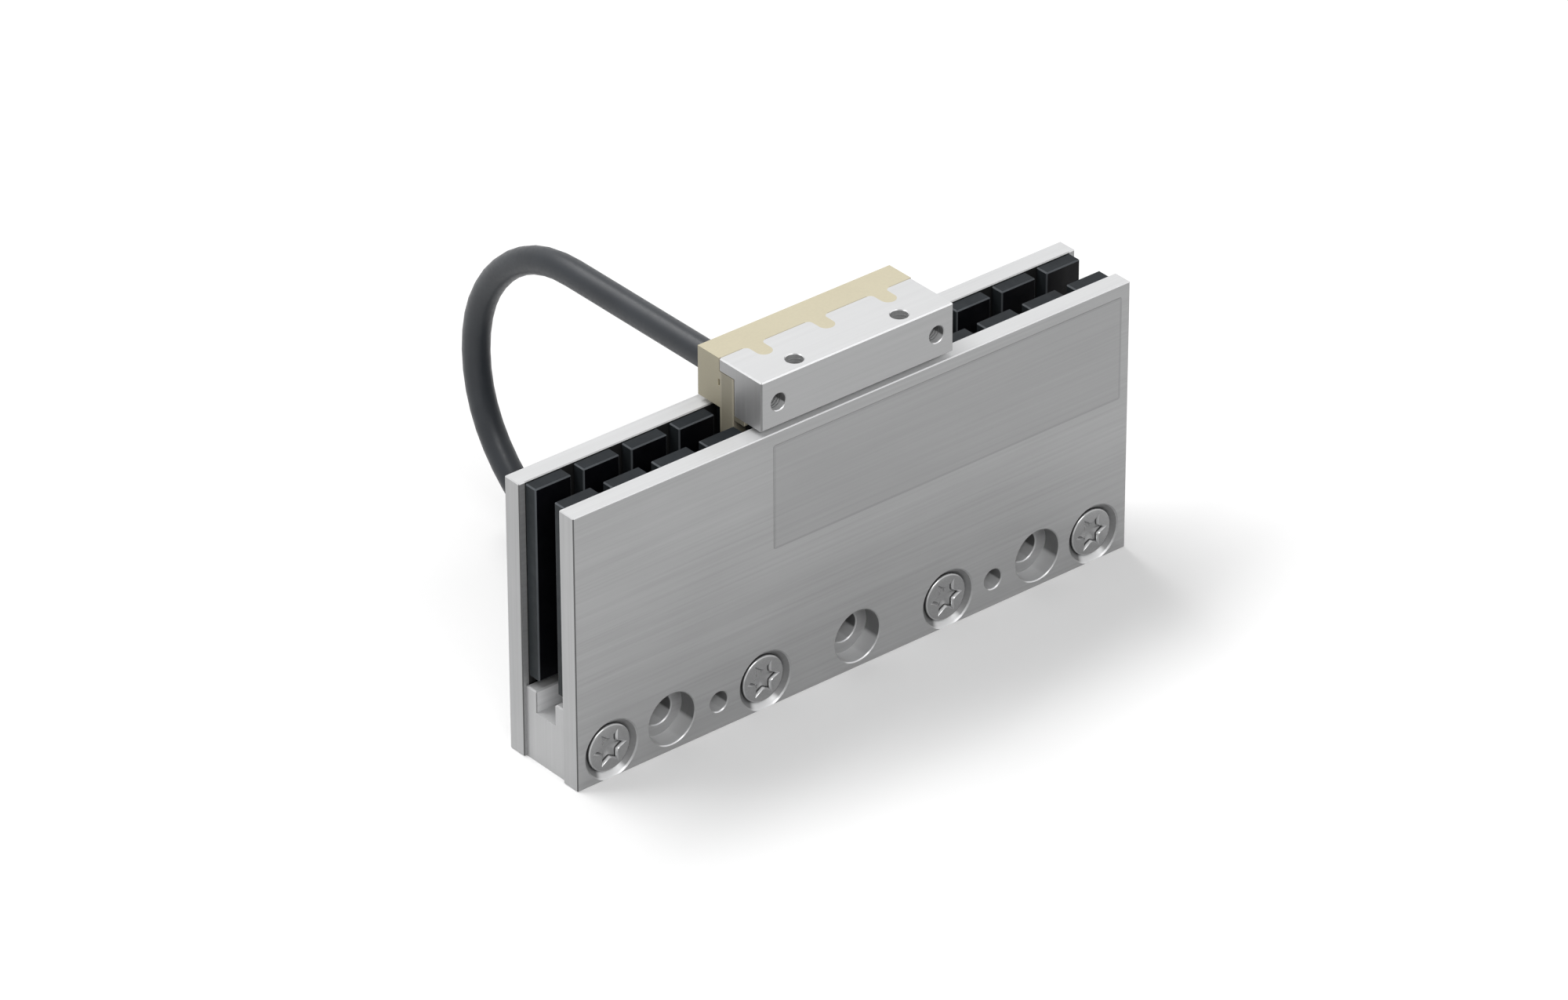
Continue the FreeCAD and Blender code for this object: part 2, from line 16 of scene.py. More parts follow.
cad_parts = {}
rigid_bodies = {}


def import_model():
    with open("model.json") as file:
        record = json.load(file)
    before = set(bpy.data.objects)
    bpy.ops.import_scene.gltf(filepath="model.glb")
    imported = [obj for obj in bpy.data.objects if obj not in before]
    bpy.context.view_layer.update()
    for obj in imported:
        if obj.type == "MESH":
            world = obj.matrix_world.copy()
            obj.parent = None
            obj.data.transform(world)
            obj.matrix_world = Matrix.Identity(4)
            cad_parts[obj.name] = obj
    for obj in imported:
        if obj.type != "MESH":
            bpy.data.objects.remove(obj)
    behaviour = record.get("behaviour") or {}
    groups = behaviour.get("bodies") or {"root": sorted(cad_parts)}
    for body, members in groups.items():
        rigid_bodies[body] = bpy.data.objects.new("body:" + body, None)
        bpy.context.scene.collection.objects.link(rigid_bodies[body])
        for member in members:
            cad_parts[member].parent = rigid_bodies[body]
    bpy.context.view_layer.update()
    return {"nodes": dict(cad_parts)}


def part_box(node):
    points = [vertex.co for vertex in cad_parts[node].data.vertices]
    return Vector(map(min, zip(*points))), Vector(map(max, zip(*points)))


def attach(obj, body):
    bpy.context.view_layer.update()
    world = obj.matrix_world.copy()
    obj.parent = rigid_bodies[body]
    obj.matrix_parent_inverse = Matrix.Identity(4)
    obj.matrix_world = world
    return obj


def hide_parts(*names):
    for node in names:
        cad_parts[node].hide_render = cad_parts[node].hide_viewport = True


MM = 0.001

bpy.ops.object.select_all(action="SELECT")
bpy.ops.object.delete()
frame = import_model()
nodes = frame["nodes"]

# %% [markdown]
# ## The camera
# The picture was taken from the left front and from above, with a long lens, so that parallel edges stay
# nearly parallel. A camera that stands far away with a narrow view gives the same look. It could be aimed by
# a constraint, but its place is worked out here from two angles and a distance to a target, because these
# are easy to read and to change. A very small turn about the line of sight levels the picture.

# %% Place the camera
VIEW_AZIMUTH = math.radians(-39.64)
VIEW_ELEVATION = math.radians(31.26)
VIEW_ROLL = math.radians(-0.16)
VIEW_DISTANCE = 1131.4 * MM
VIEW_TARGET = Vector((-6.815, 0.0, 25.543)) * MM
LENS_LENGTH = 195.55
SENSOR_WIDTH = 36.0
NEAR_LIMIT = 0.05
FAR_LIMIT = 20.0

toward_camera = Vector((
    math.sin(VIEW_AZIMUTH) * math.cos(VIEW_ELEVATION),
    -math.cos(VIEW_AZIMUTH) * math.cos(VIEW_ELEVATION),
    math.sin(VIEW_ELEVATION),
))
bpy.ops.object.camera_add(location=VIEW_TARGET + toward_camera * VIEW_DISTANCE)
camera = bpy.context.object
facing = toward_camera.to_track_quat("Z", "Y") @ Quaternion((0, 0, 1), VIEW_ROLL)
camera.rotation_euler = facing.to_euler()
camera.data.sensor_width = SENSOR_WIDTH
camera.data.lens = LENS_LENGTH
camera.data.clip_start = NEAR_LIMIT
camera.data.clip_end = FAR_LIMIT
bpy.context.scene.camera = camera
bpy.context.scene.view_settings.view_transform = "Standard"
print("The camera stands %.0f mm from the motor" % (VIEW_DISTANCE / MM))

# %% [markdown]
# ## The flying lead
# A round four-core cable comes out of the coil unit's resin cap. It runs straight back, bends down to the
# table and is put away behind the yoke as a tied hank. A tube could be extruded ring by ring, but a NURBS
# curve with a round bevel is the natural way to make a cable: its points pull it without it passing through
# each one, so it never kinks. The hank's turns are worked out by a loop: two layers of outer turns first,
# then inner turns on the way down, each a cable's width from the last.

# %% List the points of the lead
CABLE_DIAMETER = 4.0
LEAD_POINTS = [
    (-13.2, 6.125, 46.6),
    (-13.2, 27.4, 46.6),
    (-13.2, 45.5, 46.6),
    (-13.2, 58.3, 33.8),
    (-13.2, 58.3, 15.6),
    (-13.2, 45.5, 2.6),
]
TAIL_POINTS = [
    (42.0, 38.6, 2.8),
    (27.0, 34.4, 2.7),
    (13.0, 28.0, 2.6),
]
print("The lead has", len(LEAD_POINTS), "points before the hank and", len(TAIL_POINTS), "after it")

# %% Wind the hank
HANK_LEFT = Vector((2.8, 27.0))
HANK_STRAIGHT = 40.0
OUTER_RADIUS = 16.0
INNER_RADIUS = 12.0
LOWEST_TURN = 2.8
POINTS_PER_TURN = 28
HANK_STEPS = 128

# Where the cable changes its row or its layer, counted in turns from the hank's start.
INWARD_STEP = (2.0, 2.14)
UPWARD_STEPS = ((0.80, 0.95), (1.80, 1.95))
DOWNWARD_STEPS = ((2.75, 2.90), (3.75, 3.90))


def eased(value, start, end):
    """0 before start, 1 after end and a soft change between them."""
    share = min(max((value - start) / (end - start), 0.0), 1.0)
    return share * share * (3 - 2 * share)


def oval_point(radius, share):
    """The point at that share of a turn, counted from the hank's left end by way of its front run."""
    quarter = math.pi * radius / 2
    half = HANK_STRAIGHT + 2 * quarter
    pull = radius / math.cos(half / POINTS_PER_TURN / radius)
    run = share * 2 * half % half
    if run < quarter:
        angle = math.pi + run / radius
        x, y = pull * math.cos(angle), pull * math.sin(angle)
    elif run < quarter + HANK_STRAIGHT:
        x, y = run - quarter, -radius
    else:
        angle = (run - quarter - HANK_STRAIGHT) / radius - math.pi / 2
        x, y = HANK_STRAIGHT + pull * math.cos(angle), pull * math.sin(angle)
    if share >= 0.5:
        x, y = HANK_STRAIGHT - x, -y
    return HANK_LEFT + Vector((x, y))


def hank_point(step):
    """One point of the hank: up on the outer side, across, and down on the inner side."""
    turns = step / POINTS_PER_TURN
    radius = OUTER_RADIUS + (INNER_RADIUS - OUTER_RADIUS) * eased(turns, *INWARD_STEP)
    layer = sum(eased(turns, *rise) for rise in UPWARD_STEPS)
    layer -= sum(eased(turns, *fall) for fall in DOWNWARD_STEPS)
    place = oval_point(radius, turns % 1.0)
    return (place.x, place.y, LOWEST_TURN + layer * CABLE_DIAMETER)


hank_points = [hank_point(step) for step in range(HANK_STEPS + 1)]
print("The hank has %.1f turns" % (HANK_STEPS / POINTS_PER_TURN))

# %% Draw the lead as one curve
TUBE_FINENESS = 6


def smooth_tube(name, points, diameter):
    """A round tube along a smooth curve that a list of points in millimetres pulls into shape."""
    curve = bpy.data.curves.new(name, "CURVE")
    curve.dimensions = "3D"
    spline = curve.splines.new("NURBS")
    spline.points.add(len(points) - 1)
    for point, place in zip(spline.points, points):
        point.co = (*(Vector(place) * MM), 1.0)
        point.radius = diameter / 2 * MM
    spline.order_u = 3
    spline.use_endpoint_u = True
    curve.resolution_u = TUBE_FINENESS
    # The points' own radius gives the thickness, so the bevel itself is one unit deep.
    curve.bevel_depth = 1.0
    curve.bevel_resolution = TUBE_FINENESS
    curve.use_fill_caps = True
    tube = bpy.data.objects.new(name, curve)
    bpy.context.scene.collection.objects.link(tube)
    print("%s: %d points, %.0f mm long" % (name, len(points), spline.calc_length() / MM))
    return tube


lead = smooth_tube("motor_lead", LEAD_POINTS + hank_points + TAIL_POINTS, CABLE_DIAMETER)
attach(lead, "coil_unit")
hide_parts("motor_cable", "cable_hank", "cable_tail")

# %% [markdown]
# ## A way to build finishes
# A finish could be a photograph wrapped round the piece, but that needs a picture file and stretches. Here
# each finish is one Principled shader with procedural noise on the piece's own coordinates, so nothing
# slides when a part moves. The helpers below add one idea each: a noise that may be stretched, a value that
# follows it, a change in roughness, and a relief that catches the light. A value that is the same all over
# goes straight on the shader.

# %% Start a finish and connect its nodes
def shader_of(finish):
    return finish.node_tree.nodes["Principled BSDF"]


def start_finish(name, colour, roughness, metallic=0.0, shine=0.5):
    """A new finish with its plain values set on the shader."""
    finish = bpy.data.materials.new(name)
    finish.use_nodes = True
    values = {"Roughness": roughness, "Metallic": metallic, "Specular IOR Level": shine}
    for socket, value in values.items():
        shader_of(finish).inputs[socket].default_value = value
    shader_of(finish).inputs["Base Color"].default_value = (*colour, 1.0)
    return finish


def add_node(owner, kind):
    return owner.node_tree.nodes.new("ShaderNode" + kind)


def join(owner, source, target):
    owner.node_tree.links.new(source, target)


def feed(owner, value, socket):
    """Gives a socket a plain number, vector or colour, or the output of another node."""
    if isinstance(value, tuple):
        socket.default_value = (*value, 1.0)
    elif isinstance(value, (float, Vector)):
        socket.default_value = value
    else:
        join(owner, value, socket)


def calculate(owner, kind, operation, *values):
    """The outputs of a Math or VectorMath node that works on these values."""
    step = add_node(owner, kind)
    step.operation = operation
    for value, socket in zip(values, step.inputs):
        feed(owner, value, socket)
    return step.outputs


# %% Make a grain
# Most of a noise lies between these two values.
GRAIN_REACH = (0.3, 0.7)


def own_place(finish):
    """The piece's own coordinates, in metres."""
    return add_node(finish, "TexCoord").outputs["Object"]


def grain(finish, waves, detail=3.0):
    """Noise with that many waves in a metre, the same all ways or one number each for X, Y and Z."""
    stretch = add_node(finish, "Mapping")
    stretch.inputs["Scale"].default_value = waves if isinstance(waves, tuple) else (waves, waves, waves)
    noise = add_node(finish, "TexNoise")
    noise.inputs["Scale"].default_value = 1.0
    noise.inputs["Detail"].default_value = detail
    join(finish, own_place(finish), stretch.inputs["Vector"])
    join(finish, stretch.outputs["Vector"], noise.inputs["Vector"])
    return noise.outputs["Fac"]


def ranged(finish, source, low, high, reach=GRAIN_REACH, soft=False):
    """A value that runs from low to high, evenly or softly, while its source runs over a reach."""
    scale = add_node(finish, "MapRange")
    if soft:
        scale.interpolation_type = "SMOOTHSTEP"
    for name, value in zip(("From Min", "From Max", "To Min", "To Max"), (*reach, low, high)):
        scale.inputs[name].default_value = value
    join(finish, source, scale.inputs["Value"])
    return scale.outputs["Result"]


def blend_values(finish, first, second, share):
    """Two grains in one, with that share of the second."""
    mix = add_node(finish, "Mix")
    feed(finish, share, mix.inputs["Factor"])
    join(finish, first, mix.inputs["A"])
    join(finish, second, mix.inputs["B"])
    return mix.outputs["Result"]


# %% Put colour, roughness and relief on a surface
def paint(finish, colour):
    """Makes a colour the surface's own."""
    join(finish, colour, shader_of(finish).inputs["Base Color"])


def roughen(finish, source, low, high):
    """Lets the roughness run from low to high with a grain."""
    join(finish, ranged(finish, source, low, high), shader_of(finish).inputs["Roughness"])


def emboss(finish, source, height):
    """Raises the surface by a grain, to that height in millimetres."""
    bump = add_node(finish, "Bump")
    bump.inputs["Strength"].default_value = 1.0
    bump.inputs["Distance"].default_value = height * MM
    join(finish, source, bump.inputs["Height"])
    join(finish, bump.outputs["Normal"], shader_of(finish).inputs["Normal"])


def dress(finish, *names):
    """Gives CAD parts their finish."""
    for name in names:
        nodes[name].data.materials.clear()
        nodes[name].data.materials.append(finish)
    print(finish.name, "is on", ", ".join(names))


# %% [markdown]
# ## Brushed steel plates
# The yoke's two plates are ground, brushed and plated, so they look satin rather than mirror-like. The large
# faces have fine lines along their length and the ends have upright lines. Light and shade are painted into
# the tone by a face's direction: the ends are painted a little lighter, and the narrow milled tops much
# lighter, as painted light from above. The walls of the holes are dull and painted dark as painted shade,
# the broken front edges carry a painted highlight, the upright corners at the ends carry a thin line of
# painted shade, and a film of dark adhesive lies behind the magnets.
# Each kind of face could get a material of its own, but then every face has to be picked. Here a face's
# direction and place choose its lines and tone, so one finish serves a whole plate. Stretched noise makes
# the lines: a few waves per metre along the brush and thousands across it.

# %% Choose by a face's direction
FACE_REACH = (0.55, 0.95)
METAL_TINT = (0.995, 1.0, 1.008)

# A Mix node has sockets for each kind of value. These are the ones for colours.
COLOUR_SHARE, FIRST_COLOUR, SECOND_COLOUR, MIXED_COLOUR = 0, 6, 7, 2


def facing_share(finish, direction, both_ways=False, reach=FACE_REACH):
    """1 on faces that look along a direction, 0 on others, with a soft change between."""
    normal = add_node(finish, "TexCoord").outputs["Normal"]
    along = calculate(finish, "VectorMath", "DOT_PRODUCT", normal, Vector(direction).normalized())["Value"]
    if both_ways:
        along = calculate(finish, "Math", "ABSOLUTE", along)["Value"]
    return ranged(finish, along, 0.0, 1.0, reach, soft=True)


def mix_colours(finish, first, second, share, way="MIX"):
    """Mixes two colours, each a plain colour or the output of another node."""
    mix = add_node(finish, "Mix")
    mix.data_type = "RGBA"
    mix.blend_type = way
    feed(finish, first, mix.inputs[FIRST_COLOUR])
    feed(finish, second, mix.inputs[SECOND_COLOUR])
    feed(finish, share, mix.inputs[COLOUR_SHARE])
    return mix.outputs[MIXED_COLOUR]


def grey(value):
    """A metal's tone, a touch cooler than neutral."""
    return tuple(value * part for part in METAL_TINT)


# %% Choose by place
def either(owner, first, second):
    """The larger of two values."""
    return calculate(owner, "Math", "MAXIMUM", first, second)["Value"]


def largest_part(finish, vector):
    """The largest of a vector's three parts, whatever their signs."""
    parts = add_node(finish, "SeparateXYZ")
    join(finish, calculate(finish, "VectorMath", "ABSOLUTE", vector)["Vector"], parts.inputs["Vector"])
    larger = either(finish, parts.outputs["X"], parts.outputs["Y"])
    return either(finish, larger, parts.outputs["Z"])


def below(finish, value, limit):
    """1 where a value is under a limit, and 0 elsewhere."""
    return calculate(finish, "Math", "LESS_THAN", value, limit)["Value"]


def inside_share(finish, box, margins):
    """1 inside a box that is smaller by the margins on X, Y and Z, in millimetres, and 0 outside it."""
    low, high = box
    halves = (high - low) / 2 - Vector(margins) * MM
    from_middle = calculate(finish, "VectorMath", "SUBTRACT", own_place(finish), (low + high) / 2)["Vector"]
    in_halves = calculate(finish, "VectorMath", "DIVIDE", from_middle, halves)["Vector"]
    return below(finish, largest_part(finish, in_halves), 1.0)


# %% Draw the brush's lines
ALONG_BRUSH = 40.0
ACROSS_BRUSH = 2600.0
BRUSH_RELIEF = 0.003
CLOUD_WAVES = (45.0, 60.0, 90.0)
CLOUD_SHARE = 0.35


def brush_lines(finish, on_end):
    """Fine lines along X, and upright ones on the ends."""
    along = grain(finish, (ALONG_BRUSH, ACROSS_BRUSH, ACROSS_BRUSH))
    upright = grain(finish, (ACROSS_BRUSH, ACROSS_BRUSH, ALONG_BRUSH))
    return blend_values(finish, along, upright, on_end)


def streaked(finish, tone, lines, depth):
    """A tone that is lighter and darker by the brush's lines and by slow clouds."""
    clouds = grain(finish, CLOUD_WAVES, detail=2.0)
    streaks = ranged(finish, blend_values(finish, lines, clouds, CLOUD_SHARE), 1.0 - depth, 1.0 + depth)
    return mix_colours(finish, tone, streaks, 1.0, way="MULTIPLY")


# %% Pick out edges, corners and glue
# The broken edges get a painted highlight, and the upright corners at a part's ends a line of painted shade.
EDGE_REACH = (0.90, 0.97)
EDGE_HIGHLIGHT_SHARES = {(0, -1, 1): 1.0, (-1, 0, 1): 0.72, (1, 0, 1): 0.72}
CORNER_REACH = (0.88, 0.96)
CORNER_MARGINS = (0.2, -1.0, -1.0)
CORNERS = ((-1, -1, 0), (1, -1, 0))
GLUE_MARGINS = (1.0, -1.0, -1.0)
GLUE_TONE = 0.03


def painted_edge_highlights(finish, tone, bright):
    """Adds a painted highlight on the broken edges, strongest on the front one."""
    for direction, share in EDGE_HIGHLIGHT_SHARES.items():
        on_edge = facing_share(finish, direction, reach=EDGE_REACH)
        tone = mix_colours(finish, tone, grey(bright * share), on_edge)
    return tone


def painted_corner_shade(finish, tone, box, dark):
    """Adds painted shade on the upright corners, which are only at a part's two ends."""
    between_ends = inside_share(finish, box, CORNER_MARGINS)
    for direction in CORNERS:
        on_corner = facing_share(finish, direction, reach=CORNER_REACH)
        corner = mix_colours(finish, tone, grey(dark), on_corner)
        tone = mix_colours(finish, corner, tone, between_ends)
    return tone


def glued_face(finish, tone, box, direction):
    """Adds the film of adhesive on the face that looks along a direction."""
    on_glue = mix_colours(finish, tone, grey(GLUE_TONE), facing_share(finish, direction))
    return mix_colours(finish, tone, on_glue, inside_share(finish, box, GLUE_MARGINS))


# %% Finish the plates
HOLE_MARGINS = (0.2, 0.2, 0.2)
FLAT_STREAK = 0.4
DULL_METALLIC = 0.15
# Past the side tone, these tones are painted light and shade on ends, flats, holes, edges and corners.
PLATE_TONES = {"side": 0.362, "end": 0.420, "flat": 0.632, "hole": 0.18, "edge": 0.78, "corner": 0.10}
PLATE_LOOK = {"metallic": 0.5, "roughness": (0.34, 0.48), "streak": 0.10}


def brushed_metal(name, node, tones, metallic, roughness, streak, glued=None, inner=None):
    """A satin metal with tones of painted light and shade for each kind of face, and one for an inner region
    where it has that.
    """
    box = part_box(node)
    finish = start_finish(name, grey(tones["side"]), roughness[0], metallic)
    on_end = facing_share(finish, (1, 0, 0), both_ways=True)
    on_flat = facing_share(finish, (0, 0, 1), both_ways=True)
    in_hole = inside_share(finish, box, HOLE_MARGINS)
    lines = brush_lines(finish, on_end)
    # The ends and flats get a tone of painted light or shade, and the hole walls painted shade.
    tone = mix_colours(finish, grey(tones["side"]), grey(tones["end"]), on_end)
    tone = mix_colours(finish, tone, grey(tones["hole"]), in_hole)
    if inner:
        inner_box, inner_tone = inner
        tone = mix_colours(finish, tone, grey(inner_tone), inside_share(finish, inner_box, HOLE_MARGINS))
    tone = streaked(finish, tone, lines, streak)
    flat = streaked(finish, grey(tones["flat"]), lines, streak * FLAT_STREAK)
    tone = mix_colours(finish, tone, flat, on_flat)
    tone = painted_edge_highlights(finish, tone, tones["edge"])
    if glued:
        tone = glued_face(finish, tone, box, glued)
    paint(finish, painted_corner_shade(finish, tone, box, tones["corner"]))
    dull = either(finish, on_flat, in_hole)
    metal = ranged(finish, dull, metallic, DULL_METALLIC, reach=(0.0, 1.0))
    join(finish, metal, shader_of(finish).inputs["Metallic"])
    roughen(finish, lines, *roughness)
    emboss(finish, lines, BRUSH_RELIEF)
    dress(finish, node)


for side, inwards in (("front", (0, 1, 0)), ("rear", (0, -1, 0))):
    brushed_metal(side + "_plate_steel", side + "_plate", PLATE_TONES, **PLATE_LOOK, glued=inwards)

# %% [markdown]
# ## Milled aluminium
# The base bar between the plates and the block on top of the coil unit are milled from aluminium bar. They
# are lighter than the plates and smoother, with shallow cutter lines, and carry the same painted light and
# shade by direction. The slot in the bar is painted bright as light falling into it, the bores are painted
# dark as painted shade, and the taps in the block's top are painted lighter than those in its front, as
# painted light. They could have a new material, but the plates' finish with paler tones, weaker streaks and
# an inner region of another tone is enough.

# %% Finish the base bar and the block
# As on the plates, these tones are painted light and shade, apart from the side tone.
BASE_TONES = {"side": 0.42, "end": 0.465, "flat": 0.64, "hole": 0.13, "edge": 0.74, "corner": 0.10}
BASE_LOOK = {"metallic": 0.4, "roughness": (0.34, 0.46), "streak": 0.08}
BLOCK_TONES = {"side": 0.385, "end": 0.365, "flat": 0.645, "hole": 0.15, "edge": 0.95, "corner": 0.20}
BLOCK_LOOK = {"metallic": 0.5, "roughness": (0.30, 0.42), "streak": 0.06}
# The slot is painted bright and the block's top taps lighter, as painted light.
SLOT_FLOOR = 7.3
LIT_SLOT_TONE = 0.80
TOP_TAP_REACH = 11.2
LIT_TOP_TAP_TONE = 0.40

low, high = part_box("base_bar")
bar_slot = ((Vector((low.x, low.y, SLOT_FLOOR * MM)), high), LIT_SLOT_TONE)
brushed_metal("milled_base", "base_bar", BASE_TONES, **BASE_LOOK, inner=bar_slot)
low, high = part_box("mounting_block")
top_tap_box = (
    Vector((-TOP_TAP_REACH * MM, low.y, low.z)),
    Vector((TOP_TAP_REACH * MM, high.y, high.z)),
)
top_taps = (top_tap_box, LIT_TOP_TAP_TONE)
brushed_metal("milled_block", "mounting_block", BLOCK_TONES, **BLOCK_LOOK, inner=top_taps)

# %% [markdown]
# ## Coated magnets
# The magnets are sintered blocks under a thin dark epoxy coat. It is smooth and slightly dull, with a faint
# orange-peel relief, and the pressed block below makes its tone uneven. The end faces are painted a little
# paler as painted light, and the faces in the narrow gap black as painted shade. The small chamfers are
# painted paler, for worn coat and for a painted highlight on the edges. They could be painted one by one,
# but
# 24 magnets have many chamfers. A chamfer's direction lies between the main axes, so the largest part of its
# normal is small, and that picks out all the paler edges at once.

# %% Finish the magnets
COAT = (0.011, 0.014, 0.017)
LIT_END_COAT = (0.023, 0.027, 0.030)
GAP_SHADE_COAT = (0.002, 0.002, 0.003)
WORN_AND_GLINT_COAT = (0.085, 0.092, 0.100)
COAT_SHINE = 0.12
CHAMFER_LIMIT = 0.93
PEEL_WAVES = 700.0
PEEL_RELIEF = 0.004
PRESSED_WAVES = (260.0, 260.0, 90.0)
PRESSED_TONES = (0.8, 1.2)

epoxy = start_finish("magnet_coat", COAT, roughness=0.45, shine=COAT_SHINE)
peel = grain(epoxy, PEEL_WAVES)
uneven = ranged(epoxy, grain(epoxy, PRESSED_WAVES), *PRESSED_TONES)
normal = add_node(epoxy, "TexCoord").outputs["Normal"]
on_chamfer = below(epoxy, largest_part(epoxy, normal), CHAMFER_LIMIT)
# Painted light on the ends, painted shade in the gap, and paler chamfers for wear and painted highlight.
coat = mix_colours(epoxy, COAT, LIT_END_COAT, facing_share(epoxy, (1, 0, 0), both_ways=True))
coat = mix_colours(epoxy, coat, GAP_SHADE_COAT, facing_share(epoxy, (0, 1, 0), both_ways=True))
coat = mix_colours(epoxy, coat, WORN_AND_GLINT_COAT, on_chamfer)
coat = mix_colours(epoxy, coat, uneven, 1.0, way="MULTIPLY")
paint(epoxy, coat)
roughen(epoxy, peel, low=0.36, high=0.52)
emboss(epoxy, peel, PEEL_RELIEF)
dress(epoxy, *[name for name in sorted(nodes) if "_magnet_" in name])

# %% [markdown]
# ## Resin, glass fibre and adhesive
# The coil unit is cast in a beige filled resin: dull, with a fine mineral speckle and slow clouds of tone.
# Its ends are painted darker as painted shade. The blade and the bead under the block are a darker resin,
# partly their own colour and partly painted shade for the narrow gap. A darker adhesive fills the keyed
# seam.
# The blade's skins are thin glass-fibre sheet with a woven grain. The yarns could be modelled one by one,
# but they lie about a quarter of a millimetre apart, so two crossed wave patterns make the weave.

# %% Finish the resin
SPECK_WAVES = 2600.0
SPECK_RELIEF = 0.006
RESIN_CLOUDS = 110.0

# For each resin: its part, its dark and light colours, and how much darker its ends are painted as shade.
RESINS = {
    "cap_resin": ("potting_cap", (0.55, 0.50, 0.36), (0.605, 0.555, 0.405), 0.69),
    "seam_adhesive": ("bond_line", (0.36, 0.32, 0.23), (0.43, 0.39, 0.285), 0.70),
    "blade_resin": ("blade_core", (0.34, 0.31, 0.235), (0.39, 0.36, 0.275), 0.80),
    "bead_resin": ("seal_bead", (0.34, 0.31, 0.235), (0.39, 0.36, 0.275), 0.44),
}


def tinted(finish, source, dark, light):
    """A colour that runs from dark to light with a grain's middle values."""
    ramp = add_node(finish, "ValToRGB")
    low, high = ramp.color_ramp.elements
    low.position, high.position = GRAIN_REACH
    low.color = (*dark, 1.0)
    high.color = (*light, 1.0)
    join(finish, source, ramp.inputs["Fac"])
    return ramp.outputs["Color"]


for name, (node, dark, light, end) in RESINS.items():
    resin = start_finish(name, light, roughness=0.5)
    specks = grain(resin, SPECK_WAVES, detail=2.0)
    clouds = grain(resin, RESIN_CLOUDS)
    colour = tinted(resin, blend_values(resin, specks, clouds, share=0.5), dark, light)
    # The ends are painted darker as painted shade.
    on_end = facing_share(resin, (1, 0, 0), both_ways=True)
    paint(resin, mix_colours(resin, colour, grey(end), on_end, way="MULTIPLY"))
    roughen(resin, specks, low=0.42, high=0.6)
    emboss(resin, specks, SPECK_RELIEF)
    dress(resin, node)

# %% Finish the glass-fibre skins
YARN_WAVES = 1150.0
YARN_RELIEF = 0.01

# The skins are darker than the cap, partly their own colour and partly painted shade in the gap.
skin = start_finish("glass_fibre_skin", (0.48, 0.44, 0.335), roughness=0.4)
yarns = []
for axis in ("X", "Z"):
    wave = add_node(skin, "TexWave")
    wave.bands_direction = axis
    wave.inputs["Scale"].default_value = YARN_WAVES
    wave.inputs["Distortion"].default_value = 1.0
    join(skin, own_place(skin), wave.inputs["Vector"])
    yarns.append(wave.outputs["Fac"])
weave = blend_values(skin, *yarns, share=0.5)
paint(skin, tinted(skin, weave, dark=(0.34, 0.31, 0.24), light=(0.40, 0.37, 0.285)))
roughen(skin, weave, low=0.34, high=0.48)
emboss(skin, weave, YARN_RELIEF)
dress(skin, "blade_front_skin", "blade_rear_skin")

# %% [markdown]
# ## What is potted inside
# Three flat coils lie in the blade, and a small terminal board and a temperature sensor sit in the cap. They
# are closed in by resin, so their finishes matter only to someone who takes the part apart: enamelled wire
# with its turns, a green laminate and a glazed bead. Plain colours would do, but one grain in each keeps
# them true to their materials.

# %% Finish the potted parts
TURN_WAVES = (2500.0, 2500.0, 60.0)
TURN_RELIEF = 0.02


def grained(name, colours, waves, roughness, metallic=0.0, relief=None):
    """A finish whose colour runs from dark to light with a grain, which may be raised too."""
    plain, dark, light = colours
    finish = start_finish(name, plain, roughness, metallic)
    grains = grain(finish, waves)
    paint(finish, tinted(finish, grains, dark, light))
    if relief:
        emboss(finish, grains, relief)
    return finish


COPPER = ((0.62, 0.24, 0.10), (0.45, 0.16, 0.06), (0.70, 0.29, 0.13))
LAMINATE = ((0.02, 0.11, 0.05), (0.014, 0.085, 0.04), (0.03, 0.14, 0.065))
GLAZE = ((0.05, 0.035, 0.03), (0.035, 0.025, 0.02), (0.07, 0.05, 0.045))

copper = grained("enamelled_copper", COPPER, TURN_WAVES, roughness=0.3, metallic=1.0, relief=TURN_RELIEF)
dress(copper, "coil_u", "coil_v", "coil_w")
dress(grained("terminal_board", LAMINATE, waves=900.0, roughness=0.4), "connection_board")
dress(grained("sensor_bead", GLAZE, waves=1500.0, roughness=0.25), "temperature_sensor")

# %% [markdown]
# ## Countersunk screws
# Four screws hold each plate to the base bar. The head of such a screw is formed cold, so its rim and the
# edge of its six-lobe socket are rounded, and these small roundings are what glints in the picture. The
# socket could be cut out with a boolean, but that leaves sharp edges and untidy faces. Here a circle of
# points is extruded ring by ring, from the tip over the cone and the rim into the socket, whose rings are
# stars with six pointed crests and broad waists.
# An operator acts on whatever is selected, so each step first clears the selection. At the end the piece's
# place and turn go into its mesh.

# %% List the rings of a screw
SCREW_PLACES = (-42.2, -16.0, 16.0, 42.2)
SCREW_HEIGHT = 4.4
HEAD_FACE = 6.75
HEAD_RADIUS = 3.52
SHANK_RADIUS = 2.0
SCREW_LENGTH = 6.2
TIP_CHAMFER = 0.4
CONE_BOTTOM = -2.05
CONE_TOP = -0.53

# How far the rim draws in at each height, and the socket's waist and crest radius at each height.
RIM_STEPS = [(0.0, -0.25), (0.06, -0.12), (0.16, -0.04), (0.29, 0.0)]
SOCKET_STEPS = [(1.58, 2.84, 0.0), (1.32, 2.28, -0.27), (1.28, 2.20, -0.54), (0.95, 1.15, -0.66)]
SOCKET_DISH = 0.25
WAIST_BREADTH = 0.7
RING_POINTS = 144

